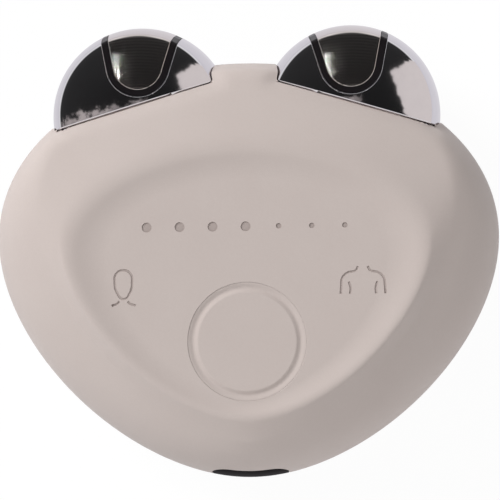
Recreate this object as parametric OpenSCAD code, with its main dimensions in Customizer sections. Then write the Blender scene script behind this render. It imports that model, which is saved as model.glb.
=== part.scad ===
// Hand-held facial toning device. It lies on its back with its front face up (+Z).
// The two electrode ears point to +Y, and the charging plate is at the -Y end.
// All lengths are in millimetres.

/* [Body outline] */
// Mean reach of the outline from the middle of the body
body_reach = 43.15; // [41:0.05:45.5]
// How far the outline is drawn out sideways
body_oval = 4.13; // [3.6:0.01:4.6]
// How strongly the outline narrows to the charging end
body_heart = 1.74; // [1.4:0.01:2.0]
// How square the upper corners of the outline are
body_square = 0.28; // [0:0.01:0.5]
// How blunt the charging end of the outline is
body_tip = 0.22; // [0:0.01:0.4]

/* [Body profile] */
// Height of the widest line above the back face
waist_z = 18; // [17:0.1:20]
// Height of the front crest above the widest line
crest_rise = 17.5; // [17:0.1:18.5]
// How far the crest lies inside the outline at the sides
crest_inset = 14.5; // [13.5:0.1:15.5]
// How much further in the crest lies at the ears than at the sides
crest_lean = 2; // [1:0.1:2.5]
// Depth of the dished front below its crest
dish_depth = 1.4; // [1:0.1:1.8]
// Mean width of the slope from the crest to the dish floor
dish_slope = 6; // [4.5:0.1:7]
// Mean height of the front edge above the widest line
edge_rise = 13.9; // [13.4:0.1:14.2]
// Mean inset of the front edge from the outline
edge_inset = 6.7; // [6:0.1:7.5]
// How far the front edge is shifted towards the ears
edge_shift = 3.6; // [3:0.1:4.2]
// How much less oval the front edge is than the outline
edge_oval = 1.8; // [1.4:0.1:2.2]
// How much of the outline's narrowing the front edge loses
edge_heart = 1.25; // [0.9:0.05:1.6]
// How much lower the front edge is at the ears than at the charging end
edge_tilt = 1.2; // [0.8:0.1:1.6]
// How much higher the front edge is at the sides than at both ends
edge_bow = 0.4; // [0:0.1:0.8]
// How far the dish floor lies off the crest's middle, towards the charging end
dish_shift = 1.5; // [1:0.1:2]
// How much less oval the dish floor is than the crest
dish_oval = 1.5; // [1:0.1:2]
// Inset of the flat back face from the outline
back_inset = 15; // [13:0.1:16]

/* [Shells] */
// Thickness of the silicone skin
skin_wall = 1.4; // [1.2:0.1:1.6]
// Thickness of the housing walls
housing_wall = 1.8; // [1.6:0.1:2.2]
// Gap between skin and housing
skin_gap = 0.1; // [0.05:0.05:0.15]
// Width of the seal ring in the housing joint
seal_width = 0.8; // [0.6:0.1:1]
// Height of the seal ring
seal_height = 0.9; // [0.7:0.1:1.2]

/* [Ears] */
// Distance of each ear's axis from the centre line
ear_spread = 19.76; // [19.4:0.02:20.4]
// Distance of the ears' axes from the middle of the body
ear_rise = 27.28; // [26.6:0.02:28]
// Radius of the ear at the middle of its rim
ear_r = 17; // [16.8:0.1:17.3]
// Radius of the ear's front and rear facets
ear_facet_r = 14.9; // [14.5:0.1:15.3]
// Half thickness of the ear at the edge of its facets
ear_half = 11.5; // [11.2:0.1:11.8]
// Height of the dome of each facet
ear_dome = 1.4; // [1.2:0.1:1.6]
// Size of the rounded edge between a facet and the rim
ear_crease = 0.4; // [0.2:0.05:0.6]
// Thickness of the chromed electrode shells
ear_wall = 1.2; // [1:0.1:1.4]
// Tilt of the line where an ear enters the body
ear_tilt = 16.5; // [15:0.5:18]
// Distance of that line above the ear's axis
ear_seam = 1.6; // [1.2:0.1:2]
// How deep the electrode shell reaches below that line
ear_plug = 3.2; // [2.8:0.1:3.6]
// Thickness of the gasket under the electrode shell
ear_gasket = 0.9; // [0.7:0.1:1.1]
// Thickness of the ear frame's shoulder under the gasket
ear_shoulder = 2.6; // [2:0.1:3]
// Clearance of an ear in the body
ear_gap = 0.15; // [0.1:0.05:0.2]
// How much slimmer an ear is below the line where it enters the body
ear_neck = 0.6; // [0.4:0.1:0.8]

/* [Tongue electrodes] */
// Radius of the tongue's round end
tongue_r = 4.6; // [4:0.1:5]
// Angle that each side of the tongue flares by
tongue_flare = 14; // [12:0.5:16]
// Distance of the tongue's round end above the ear's axis
tongue_rise = 4.5; // [4:0.1:5]
// Lean of the tongue towards the centre line
tongue_lean = 3; // [0:0.5:5]
// Width of the black insulating band round the tongue
band_width = 1.25; // [1:0.05:1.5]
// Joint gap between electrodes and band
band_gap = 0.05; // [0.03:0.01:0.08]

/* [Button] */
// Distance of the button's centre from the charging end
button_inset = 26.3; // [25.9:0.1:26.8]
// Radius of the button's flat face
button_r = 9.9; // [9.4:0.1:10.3]
// Width of the groove round the button
groove_width = 1; // [0.8:0.1:1.2]
// Depth of the groove
groove_depth = 0.6; // [0.4:0.05:0.7]
// Radius of the rounded edges on both sides of the groove
groove_round = 0.35; // [0.2:0.05:0.4]
// Travel of the button
button_travel = 0.4; // [0.3:0.05:0.5]
// Radial clearance of the button in the skin
button_gap = 0.1; // [0.08:0.01:0.15]
// Radius of the plunger under the button
plunger_r = 9.2; // [8.8:0.1:9.3]
// Radial clearance of the plunger in its guide
plunger_gap = 0.06; // [0.03:0.01:0.08]
// Width of the plunger's stop flange
plunger_flange = 1; // [0.8:0.1:1.2]
// Radius of the nub that presses the switch
nub_r = 2; // [1.8:0.1:2.4]

/* [Main board] */
// Distance of the board's upper face below the dished front
board_drop = 9.6; // [9.3:0.1:9.9]
// Thickness of the board
board_t = 1.2; // [1:0.1:1.6]
// Inset of the board's edge from the body's outline
board_inset = 14; // [13:0.1:15]
// Distance of the board's straight edge below the ears' axes
board_step = 17.8; // [17:0.1:18.6]
// Side of the switch body
switch_side = 6; // [5.5:0.1:6.5]
// Height of the switch body
switch_height = 3.1; // [2.9:0.1:3.3]
// Radius of the switch stem
stem_r = 1.75; // [1.5:0.05:1.9]
// How far the switch stem stands out of the switch
stem_rise = 0.8; // [0.7:0.05:0.9]
// Side of the controller chip
chip_side = 7; // [5:0.5:8]
// Distance of the controller chip from the centre line
chip_x = 13; // [12:0.1:13.5]
// Length of the driver chip
driver_length = 5; // [4:0.5:5.5]
// Width of the driver chip
driver_width = 4; // [3:0.5:4.5]
// Distance of the driver chip from the centre line
driver_x = 4; // [3:0.1:5]
// Height of the chips
chip_height = 1; // [0.8:0.1:1.2]
// Radius of the boost coil
coil_r = 3; // [2.5:0.1:3.5]
// Height of the boost coil
coil_height = 3.2; // [2.5:0.1:4]
// Distance of the boost coil from the centre line
coil_x = 13; // [12:0.1:14]
// Distance of the chips and the coil from the board's straight edge
chip_step = 8.5; // [8:0.1:9.5]
// Distance of the mode lights from the centre line
light_x = 22.8; // [22:0.1:23.4]
// Distance of the mode lights above the button's centre
light_rise = 10.6; // [10:0.1:11.4]
// Radius of the light pipes
light_r = 1.5; // [1.2:0.1:1.8]

/* [Lead sockets] */
// Length of a lead socket
socket_length = 6; // [5:0.5:6.5]
// Width of a lead socket
socket_width = 4; // [3.5:0.1:4.5]
// Height of a lead socket
socket_height = 2.2; // [2:0.1:2.6]
// Distance of the sockets from the board's edges
socket_inset = 2; // [1.5:0.1:2.5]
// Inset of the ears' sockets from the body's sides
ear_socket_inset = 25.6; // [25:0.1:26]
// Distance of the battery's socket from the centre line
battery_socket_x = 8; // [7.6:0.1:8.6]
// Distance of the motor's socket from the centre line
motor_socket_x = 11; // [10.5:0.1:12]
// Distance of the jack's socket from the centre line
jack_socket_x = 6; // [5.5:0.1:6.5]
// Radius of a lead
lead_r = 0.45; // [0.35:0.05:0.5]

/* [Battery] */
// Inset of the cell's ends from the body's sides
cell_end_inset = 29.3; // [29:0.1:31]
// Inset of the cell's lower side from the body's charging end
cell_tip_inset = 23; // [22.8:0.1:25]
// Thickness of the battery cell
cell_thick = 9; // [7:0.5:10]
// Corner radius of the cell
cell_corner = 1.8; // [1:0.1:2.5]
// Clearance of the cell in its tray
cell_gap = 0.2; // [0.1:0.05:0.3]
// Gap between the tray and the motor's boot
tray_gap = 1.4; // [1:0.1:2]
// Wall of the battery tray
tray_wall = 1; // [0.8:0.1:1.2]
// Height of the battery tray
tray_height = 5; // [4:0.5:6]
// Width of the openings in the tray's walls
tray_notch = 6; // [4:0.5:8]

/* [Pulse motor] */
// Radius of the motor can
motor_r = 3.5; // [3.2:0.1:3.8]
// Length of the motor can
motor_length = 14; // [12:0.5:15]
// Wall of the motor can
motor_wall = 0.4; // [0.3:0.05:0.5]
// Radius of the motor shaft
shaft_r = 0.5; // [0.4:0.05:0.6]
// Running clearance of the shaft in its bushes
shaft_gap = 0.03; // [0.02:0.01:0.05]
// Radius of the bushes
bush_r = 1.3; // [1.1:0.1:1.5]
// Length of a bush
bush_length = 1.6; // [1.2:0.1:2]
// Radius of the armature
armature_r = 2.5; // [2.2:0.1:2.6]
// Radius of the off-centre weight
weight_r = 3; // [2.6:0.1:3.2]
// Length of the off-centre weight
weight_length = 4; // [3:0.5:4.5]
// Wall of the rubber boot round the motor
boot_wall = 1.2; // [1:0.1:1.4]
// Inset of the motor's axis from the body's edge between the ears
motor_inset = 21.3; // [21:0.1:21.8]
// How far the motor's middle lies off the centre line
motor_shift = 3; // [2.5:0.1:3.5]

/* [Charging end] */
// Half width of the charging plate
plate_half_x = 7.2; // [6.8:0.1:8]
// Half height of the charging plate
plate_half_z = 8; // [7.6:0.1:8.4]
// Corner radius of the charging plate
plate_corner = 3.5; // [3:0.1:5]
// Gap between the charging plate and the skin
plate_gap = 0.1; // [0.05:0.05:0.15]
// Radius of the hub behind the plate
hub_r = 4.5; // [4:0.1:5]
// Length of the hub
hub_length = 5; // [4.8:0.1:5.4]
// Radius of the charging jack's bore
jack_r = 1.3; // [1.28:0.01:1.4]
// Outer radius of the jack's metal sleeve
sleeve_r = 2; // [1.8:0.1:2.2]
// Length of the sleeve
sleeve_length = 9.4; // [9:0.1:10]
// Thickness of the seal ring behind the hub
jack_seal = 0.8; // [0.6:0.1:1]
// Side of the jack's plastic body
jack_side = 6.2; // [5.8:0.1:6.6]
// Length of the jack's plastic body
jack_length = 6; // [5.6:0.1:6.6]

/* [Screws] */
// Shank radius of the housing screws
screw_r = 1.4; // [1.2:0.05:1.5]
// Head radius of the housing screws
screw_head_r = 2.5; // [2.3:0.1:2.6]
// Outer radius of the housing screw bosses
boss_r = 3.2; // [3:0.1:3.4]
// Direction of the lower housing screws from the middle of the body
low_screw_turn = 126; // [122:0.5:130]
// Inset of the lower housing screws from the outline
low_screw_inset = 13.7; // [13.2:0.1:14.2]
// Length of the screw thread in the front housing
screw_reach = 9; // [7:0.5:10]
// Shank radius of the board screws
small_screw_r = 0.9; // [0.8:0.05:1]
// Length of the board screws under the head
small_screw_length = 4.5; // [4:0.1:5]
// Inset of the board screws from the outline
small_screw_inset = 18; // [17.5:0.1:18.6]
// Direction of the upper board screws from the middle of the body
small_screw_turn = 96; // [94:0.5:98]
// Direction of the lower board screws from the middle of the body
low_small_screw_turn = 146; // [144:0.5:149]

/* [Hidden] */
$fn = 48;
around = 60;

// ---- Cosine series ----
// A ring round the body is a support function: its reach from the centre in the direction that
// lies t degrees round from +Y is a cosine series, kept as the vector of its coefficients.
// Rings can then be added, scaled and mixed, and a parallel inset only changes the first term.
body_y = -(ear_rise + ear_r - (body_reach - body_oval + body_heart + body_square + body_tip)) / 2;
outline = [body_reach, body_y, -body_oval, -body_heart, body_square, -body_tip];
function series(a, t) = a * [for (k = [0:len(a) - 1]) cos(k * t)];
function series_slope(a, t) = -(a * [for (k = [0:len(a) - 1]) k * sin(k * t)]);
function rim_point(a, t) =
    let (p = series(a, t), d = series_slope(a, t))
    [-p * sin(t) - d * cos(t), p * cos(t) - d * sin(t)];
function inset(d) = [d, 0, 0, 0, 0, 0];
function rim_points(a) = [for (i = [0:around - 1]) rim_point(a, i * 360 / around)];
function mix(a, b, u) = a * (1 - u) + b * u;

// ---- Stations: [reach, height over the waist, lean of the surface normal] ----
edge = outline - [edge_inset, -edge_shift, -edge_oval, edge_heart, 0, 0];
crest = outline - [crest_inset, crest_lean, 0, 0, 0, 0];
dish = crest - [dish_slope, dish_shift, -dish_oval, 0, 0, 0];
edge_h = [edge_rise, -edge_tilt, -edge_bow];
crest_h = [crest_rise, 0, 0];
wall_bulge = 1.2;
edge_lean = 45;
band_lean = 66;
crest_lean_in = 80;
crest_lean_out = 94;
function wall(s) = [
    mix(outline, edge, s * s),
    edge_h * (wall_bulge * s - (wall_bulge - 1) * s * s),
    edge_lean * s * s
];
function band(u) = [mix(edge, crest, u), mix(edge_h, crest_h, u), mix(band_lean, crest_lean_in, u)];
function bowl(u) = [mix(crest, dish, u), crest_h - [dish_depth * sin(90 * u), 0, 0],
    mix(crest_lean_out, 90, u)];
function knee(a, b, corner) = [for (k = [0:2]) (a[k] + b[k] + 2 * corner[k]) / 4];
front_edge = knee(wall(0.86), band(0.16), [edge, edge_h, (edge_lean + band_lean) / 2]);
front_crest = knee(band(0.8), bowl(0.3), [crest, crest_h, (crest_lean_in + crest_lean_out) / 2]);
function back(f) = [outline - inset(back_inset * (1 - cos(f))), [-waist_z * sin(f), 0, 0], -f];

front_fine = [wall(0), wall(0.3), wall(0.55), wall(0.72), wall(0.86), front_edge, band(0.16),
    band(0.5), band(0.8), front_crest, bowl(0.3), bowl(0.6), bowl(1)];
front_plain = [wall(0), wall(0.4), wall(0.72), front_edge, band(0.5), front_crest, bowl(1)];
rear_fine = [for (f = [0, 18, 36, 52, 66, 79, 90]) back(f)];
rear_plain = [for (f = [0, 26, 52, 74, 90]) back(f)];

// Points of a station's ring, moved inwards by a depth along the surface normal.
function ring(s, depth) =
    [for (i = [0:around - 1])
        let (t = i * 360 / around, xy = rim_point(s[0] - inset(depth * cos(s[2])), t))
        [xy[0], xy[1], waist_z + series(s[1], t) - depth * sin(s[2])]];
function rings(stations, depth) = [for (s = stations) ring(s, depth)];
function join(lists) = [for (l = lists) each l];
function turned(list) = [for (i = [len(list) - 1:-1:0]) list[i]];
function band_faces(count, first, out) =
    [for (k = [0:count - 2], i = [0:around - 1])
        let (a = first + k * around, j = (i + 1) % around, q = [a + i, a + around + i, a + around + j, a + j])
        out ? q : turned(q)];
function cap_face(k, first, out) =
    let (loop = [for (i = [0:around - 1]) first + k * around + i]) out ? loop : turned(loop);

// A closed solid through rings that run from the lowest to the highest.
module loft(stack) {
    n = len(stack);
    polyhedron(join(stack), concat(
        band_faces(n, 0, true), [cap_face(n - 1, 0, false)], [cap_face(0, 0, true)]), convexity = 6);
}

// A shell between outer and inner rings, both running from the waist to the middle of a face.
module shell(outer, inner, up) {
    n = len(outer);
    m = len(inner);
    first = n * around;
    rim = [for (i = [0:around - 1])
        let (j = (i + 1) % around, q = [i, j, first + j, first + i]) up ? q : turned(q)];
    polyhedron(concat(join(outer), join(inner)), concat(
        band_faces(n, 0, up), [cap_face(n - 1, 0, !up)],
        band_faces(m, first, !up), [cap_face(m - 1, first, up)], rim), convexity = 8);
}

// The whole body at a depth below its surface.
module body_core(depth) {
    loft(concat(turned(rings([for (k = [1:len(rear_plain) - 1]) rear_plain[k]], depth)),
        rings(front_plain, depth)));
}
module body_skin_solid() {
    loft(concat(turned(rings([for (k = [1:len(rear_fine) - 1]) rear_fine[k]], 0)),
        rings(front_fine, 0)));
}

// ---- Clearances ----
lie_gap = 0.05;
fit_gap = 0.02;
screw_gap = 0.2;
through = 2 * ear_r;

// ---- Body places ----
housing_out = skin_wall + skin_gap;
housing_in = housing_out + housing_wall;
boss_depth = housing_out + housing_wall / 2;
front_z = waist_z + crest_rise;
dish_z = front_z - dish_depth;
skin_under = dish_z - skin_wall;
ceiling_z = dish_z - housing_in;
floor_z = housing_in;
ear_y = body_y + ear_rise;
top_y = series(outline, 0);
side_x = series(outline, 90);
tip_y = -series(outline, 180);
button_y = tip_y + button_inset;
function spot(inset_by, turn) = rim_point(outline - inset(inset_by), turn);
function mirrored(p) = [p, [-p[0], p[1]]];

// ---- Ear places ----
ear_plug_v = ear_seam - ear_plug;
gasket_v = ear_plug_v - ear_gasket;
shoulder_v = gasket_v - ear_shoulder;
lug_v = shoulder_v - boss_r - 0.3;
lug_half = 4;
passage_u = 6;
passage_z = 6.5;
passage_r = 1.2;
pin_r = 1;
pin_head_r = 1.6;
pin_head = 0.8;
pin_z = 7.2;
room_r = 7;

// ---- Button and board places ----
pad_skirt = 0.35;
guide_r = plunger_r + plunger_gap;
flange_t = 0.8;
plunger_wall = 1.2;
board_z = dish_z - board_drop;
board_under = board_z - board_t;
board_y = ear_y - board_step;
stem_z = board_z + switch_height + stem_rise;
stem_length = 1.4;
chip_y = board_y - chip_step;
board_tip_y = -series(outline - inset(board_inset), 180);
upper_socket_y = board_y - socket_inset - socket_width / 2;
jack_socket_y = board_tip_y + socket_inset + 1.5 * socket_width;
ear_socket_x = side_x - ear_socket_inset;
light_size = [2.8, 2, 0.8];

// ---- Motor and battery places ----
motor_y = top_y - motor_inset;
motor_z = floor_z + motor_r + boot_wall;
can_start = -motor_shift - motor_length / 2;
can_end = can_start + motor_length;
tray_top_y = motor_y - motor_r - boot_wall - tray_gap;
cell_top_y = tray_top_y - tray_wall - cell_gap;
cell_low_y = tip_y + cell_tip_inset;
cell_y = (cell_top_y + cell_low_y) / 2;
cell_half_y = (cell_top_y - cell_low_y) / 2;
cell_half_x = side_x - cell_end_inset;

// ---- Charging end places ----
plate_t = skin_wall + skin_gap / 2;
mouth_depth = 0.15;
sleeve_y = tip_y + mouth_depth;
jack_body_y = tip_y + hub_length + jack_seal;
jack_back_y = jack_body_y + jack_length;
jack_wall = 1;

// ---- Screw places ----
upper_screw = ear_point(0, lug_v, 0);
screw_places = concat(mirrored(spot(low_screw_inset, low_screw_turn)),
    mirrored([upper_screw[0], upper_screw[1]]));
board_screws_at = concat(mirrored(spot(small_screw_inset, small_screw_turn)),
    mirrored(spot(small_screw_inset, low_small_screw_turn)));
small_boss_r = 2.4;
rib_t = 1;
rib_foot = 1;
screw_seat = 4.2;
screw_head = 1.6;
screw_top = waist_z + screw_reach;

function ear_point(u, v, z) = [
    -ear_spread + u * cos(ear_tilt) - v * sin(ear_tilt),
    ear_y + u * sin(ear_tilt) + v * cos(ear_tilt), waist_z + z];

// ---- Colours ----
silicone = "#bfb4af";
chrome = "#c9c9cc";
black = "#241f22";
grey = "#8d8f94";
board_green = "#1f5a3c";
brass = "#c8a24a";
steel = "#a9adb2";

// ---- Small helpers ----
module both_sides() {
    children();
    mirror([1, 0, 0]) children();
}
module rod(r, from, to, dir = "z") {
    turn = dir == "x" ? [0, 90, 0] : dir == "y" ? [-90, 0, 0] : [0, 0, 0];
    axis = dir == "x" ? [1, 0, 0] : dir == "y" ? [0, 1, 0] : [0, 0, 1];
    translate(axis * from) rotate(turn) cylinder(r = r, h = to - from);
}
module block(size, at) translate(at) translate([-size[0] / 2, -size[1] / 2, 0]) cube(size);
module rounded(hx, hy, r) {
    square([2 * hx, 2 * (hy - r)], center = true);
    square([2 * (hx - r), 2 * hy], center = true);
    for (x = [-1, 1], y = [-1, 1]) translate([x * (hx - r), y * (hy - r)]) circle(r);
}

// A point of a curve that leaves a along da and comes to b along db.
function bend(a, da, b, db, u) =
    let (w = 1 - u) a * w * w * w + (a + da) * 3 * w * w * u + (b + db) * 3 * w * u * u + b * u * u * u;
function unit(v) = v / norm(v);
function across(v, t) = unit(v - t * (v * t));

// A lead of six sides along such a curve. Each ring is turned as little as it can be from the last.
module lead(a, da, b, db, start = []) {
    sides = 6;
    steps = 12;
    path = concat(start, [for (k = [0:steps]) bend(a, da, b, db, k / steps)]);
    n = len(path);
    run = [for (k = [0:n - 1]) unit(path[min(k + 1, n - 1)] - path[max(k - 1, 0)])];
    first = abs(run[0][2]) < 0.7 ? [0, 0, 1] : [1, 0, 0];
    normals = [for (k = 0, x = across(first, run[0]); k < n; k = k + 1, x = across(x, run[min(k, n - 1)])) x];
    rows = [for (k = [0:n - 1]) let (x = normals[k], y = cross(run[k], x))
        [for (i = [0:sides - 1]) path[k] + lead_r * (x * cos(360 * i / sides) + y * sin(360 * i / sides))]];
    polyhedron(join(rows), concat(
        [for (k = [0:n - 2], i = [0:sides - 1]) let (a = k * sides, j = (i + 1) % sides)
            each [[a + i, a + sides + i, a + sides + j], [a + i, a + sides + j, a + j]]],
        [[for (i = [0:sides - 1]) i]], [[for (i = [sides - 1:-1:0]) (n - 1) * sides + i]]), convexity = 8);
}

// ---- Ears ----
module ear_place() translate([-ear_spread, ear_y, waist_z]) children();
module above(v) rotate([0, 0, ear_tilt]) translate([-through, v, -through]) cube(2 * through);
function arc(c, r, a0, a1, n) = [for (i = [0:n]) let (a = a0 + (a1 - a0) * i / n) c + r * [cos(a), sin(a)]];
function ear_profile(grow) =
    let (
        r = ear_facet_r + grow, h = ear_half + grow, bulge = ear_r - ear_facet_r,
        dome_r = (r * r + ear_dome * ear_dome) / (2 * ear_dome),
        rim_r = (h * h + bulge * bulge) / (2 * bulge),
        dome_a = asin((r - ear_crease) / dome_r), rim_a = asin((h - ear_crease) / rim_r),
        facet = arc([0, h + ear_dome - dome_r], dome_r, 90, 90 - dome_a, 4),
        rim = arc([r + bulge - rim_r, 0], rim_r, rim_a, -rim_a, 6),
        front = concat(facet, [(facet[4] + 2 * [r, h] + rim[0]) / 4]))
    concat(front, rim, [for (p = turned(front)) [p[0], -p[1]]]);
module ear_blank(grow) rotate_extrude($fn = 96) polygon(ear_profile(grow));

// An ear is full above its seam and slimmer in the body below it, so that the skin closes over its neck.
module ear_form(grow) {
    ear_blank(grow - ear_neck);
    intersection() {
        ear_blank(grow);
        above(ear_seam + ear_gap - grow);
    }
}
module ear_jacket() {
    difference() {
        ear_form(0);
        ear_form(-ear_wall);
    }
}
module tongue_shape(grow) {
    r = tongue_r + grow;
    f = tongue_flare;
    reach = ear_r - 3;
    arm = [r * cos(f) + reach * sin(f), -r * sin(f) + reach * cos(f)];
    translate([0, tongue_rise + tongue_r, -through]) rotate([0, 0, -tongue_lean])
        linear_extrude(2 * through)
            polygon(concat(arc([0, 0], r, 180 + f, 360 - f, 12), [arm, [-arm[0], arm[1]]]));
}
module ear_pocket() ear_place() {
    intersection() {
        ear_form(ear_gap);
        above(shoulder_v - ear_gap);
    }
    intersection() {
        translate([0, 0, -through]) cylinder(r = ear_facet_r + ear_gap, h = 2 * through);
        above(ear_seam);
    }
}

module left_ear_shell() color(chrome) ear_place() {
    difference() {
        intersection() {
            ear_jacket();
            above(ear_plug_v);
        }
        tongue_shape(band_width);
    }
}
module left_ear_tongue() color(chrome) ear_place() {
    intersection() {
        ear_jacket();
        tongue_shape(0);
    }
}
module left_ear_gasket() color(black) ear_place() {
    difference() {
        intersection() {
            ear_jacket();
            above(gasket_v);
        }
        above(ear_plug_v);
    }
}
module ear_band() {
    difference() {
        tongue_shape(band_width - band_gap);
        tongue_shape(band_gap);
    }
}
module left_ear_frame() color(black) ear_place() {
    difference() {
        union() {
            intersection() {
                ear_form(-ear_wall - band_gap);
                above(shoulder_v);
            }
            intersection() {
                ear_blank(0);
                ear_band();
            }
            difference() {
                intersection() {
                    ear_blank(-ear_neck);
                    above(shoulder_v);
                }
                above(gasket_v);
            }
            rotate([0, 0, ear_tilt]) {
                translate([0, lug_v, 0]) rod(boss_r, -lug_half, lug_half);
                block([2 * boss_r, shoulder_v - lug_v + boss_r / 4, 2 * lug_half],
                    [0, (shoulder_v + lug_v + boss_r / 4) / 2, -lug_half]);
            }
        }
        translate([0, tongue_rise, 0]) rod(room_r, -pin_z - pin_head, pin_z + pin_head);
        rotate([0, 0, ear_tilt]) {
            translate([0, lug_v, 0]) rod(screw_r + screw_gap, -2 * lug_half, 2 * lug_half);
            for (z = [-passage_z, passage_z])
                translate([passage_u, 0, z]) rod(passage_r, shoulder_v - 1, 0, "y");
        }
        translate([0, tongue_rise + tongue_r, 0]) rod(pin_r + fit_gap, 0, ear_half + ear_dome);
        rod(pin_r + fit_gap, -ear_half - ear_dome, 0);
    }
}
module ear_pin(length) {
    rod(pin_head_r, pin_z, pin_z + pin_head);
    rod(pin_r, pin_z, pin_z + length);
}
module left_ear_pins() color(brass) ear_place() {
    facet = ear_half + ear_dome - ear_wall;
    drop = ear_dome * pow((tongue_rise + tongue_r + pin_r) / (ear_facet_r - ear_wall), 2);
    translate([0, tongue_rise + tongue_r, 0]) ear_pin(facet - drop - band_gap - pin_z);
    mirror([0, 0, 1]) ear_pin(facet - ear_neck - band_gap - pin_z);
}
module right_ear_shell() mirror([1, 0, 0]) left_ear_shell();
module right_ear_tongue() mirror([1, 0, 0]) left_ear_tongue();
module right_ear_frame() mirror([1, 0, 0]) left_ear_frame();
module right_ear_gasket() mirror([1, 0, 0]) left_ear_gasket();
module right_ear_pins() mirror([1, 0, 0]) left_ear_pins();

// ---- Skin ----
module plate_prism(grow, depth) translate([0, tip_y - 1, waist_z]) rotate([-90, 0, 0])
    linear_extrude(depth + 1) rounded(plate_half_x + grow, plate_half_z + grow, plate_corner + grow);
module skin_cuts() {
    both_sides() ear_pocket();
    plate_prism(plate_gap, hub_length);
}
module button_mouth() {
    r = button_r + groove_width;
    wide = r + groove_round;
    translate([0, button_y, 0]) rotate_extrude() polygon(concat(
        [[0, waist_z], [r, waist_z]], arc([wide, dish_z - groove_round], groove_round, 180, 90, 4),
        [[wide, front_z + 1], [0, front_z + 1]]));
}
module front_skin() color(silicone) {
    difference() {
        shell(rings(front_fine, 0), rings(front_plain, skin_wall), true);
        skin_cuts();
        button_mouth();
    }
}
module rear_skin() color(silicone) {
    difference() {
        shell(rings(rear_fine, 0), rings(rear_plain, skin_wall), false);
        skin_cuts();
    }
}

// ---- Housing ----
module seal_ring(grow, z0, z1) translate([0, 0, z0]) linear_extrude(z1 - z0) {
    middle = housing_out + housing_wall / 2;
    difference() {
        polygon(rim_points(outline - inset(middle - seal_width / 2 - grow)));
        polygon(rim_points(outline - inset(middle + seal_width / 2 + grow)));
    }
}
module hub_hole() jack_axis(hub_r + plate_gap, tip_y - 1, jack_body_y);
module at(p) translate([p[0], p[1], 0]) children();
module front_bosses() {
    for (p = screw_places) at(p) rod(boss_r, p[1] > 0 ? waist_z + lug_half : waist_z, front_z);
    for (p = board_screws_at) at(p) rod(small_boss_r, board_z, front_z);
}
module front_housing() color(grey) {
    difference() {
        union() {
            shell(rings(front_plain, housing_out), rings(front_plain, housing_in), true);
            intersection() {
                front_bosses();
                body_core(boss_depth);
            }
        }
        both_sides() ear_pocket();
        hub_hole();
        translate([0, button_y, 0]) rod(guide_r, board_z, front_z);
        for (x = [-light_x, light_x]) at([x, button_y + light_rise]) rod(light_r + lie_gap, board_z, front_z);
        for (p = screw_places) at(p) rod(screw_r + lie_gap, waist_z - 1, screw_top + screw_r / 2);
        for (p = board_screws_at) at(p)
            rod(small_screw_r + lie_gap, board_z - 1, board_under + small_screw_length + small_screw_r / 2);
    }
}
module cradle(length, top, x, y) block([length, rib_t, top - rib_foot], [x, y, rib_foot]);
module rear_bosses() {
    for (p = screw_places) at(p) rod(boss_r, 0, p[1] > 0 ? waist_z - lug_half : waist_z);
    for (y = [-1, 1] * (motor_r + boot_wall + rib_t / 2 + lie_gap))
        cradle(motor_length / 2, motor_z, -motor_shift, motor_y + y);
    for (y = [jack_wall + rib_t, jack_length - jack_wall])
        cradle(jack_side, waist_z - jack_side / 2, 0, jack_body_y + y);
}
module rear_housing() color(grey) {
    difference() {
        union() {
            shell(rings(rear_plain, housing_out), rings(rear_plain, housing_in), false);
            intersection() {
                rear_bosses();
                body_core(boss_depth);
            }
        }
        both_sides() ear_pocket();
        hub_hole();
        seal_ring(lie_gap, waist_z - seal_height, waist_z + 1);
        for (p = screw_places) at(p) {
            rod(screw_r + screw_gap, 0, waist_z + 1);
            rod(screw_head_r + screw_gap, 0, screw_seat);
        }
    }
}
module housing_seal() color(black) {
    difference() {
        seal_ring(0, waist_z - seal_height, waist_z);
        both_sides() ear_pocket();
        hub_hole();
    }
}
module housing_screws() color(steel) {
    for (p = screw_places) at(p) {
        rod(screw_head_r, screw_seat - screw_head, screw_seat);
        rod(screw_r, screw_seat - screw_head, screw_top);
    }
}

// ---- Button ----
module button_pad() color(silicone) {
    skirt_z = dish_z - groove_depth - pad_skirt;
    skirt_r = button_r + groove_width - button_gap;
    translate([0, button_y, 0]) rotate_extrude() polygon(concat(
        [[0, skin_under], [plunger_r, skin_under], [plunger_r, skirt_z], [skirt_r, skirt_z],
            [skirt_r, dish_z - groove_depth], [button_r, dish_z - groove_depth]],
        arc([button_r - groove_round, dish_z - groove_round], groove_round, 0, 90, 4), [[0, dish_z]]));
}
module button_plunger() color(grey) translate([0, button_y, 0]) {
    flange_z = ceiling_z - lie_gap - flange_t;
    rib_top = skin_under - plunger_wall / 2;
    difference() {
        union() {
            rod(plunger_r, flange_z, skin_under);
            rod(plunger_r + plunger_flange, flange_z, flange_z + flange_t);
        }
        rod(plunger_r - plunger_wall, flange_z - 1, skin_under - plunger_wall);
    }
    rod(nub_r, stem_z, rib_top);
    for (a = [0, 60, 120]) rotate([0, 0, a])
        block([2 * plunger_r - plunger_wall, plunger_wall, rib_top - flange_z], [0, 0, flange_z]);
}

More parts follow.
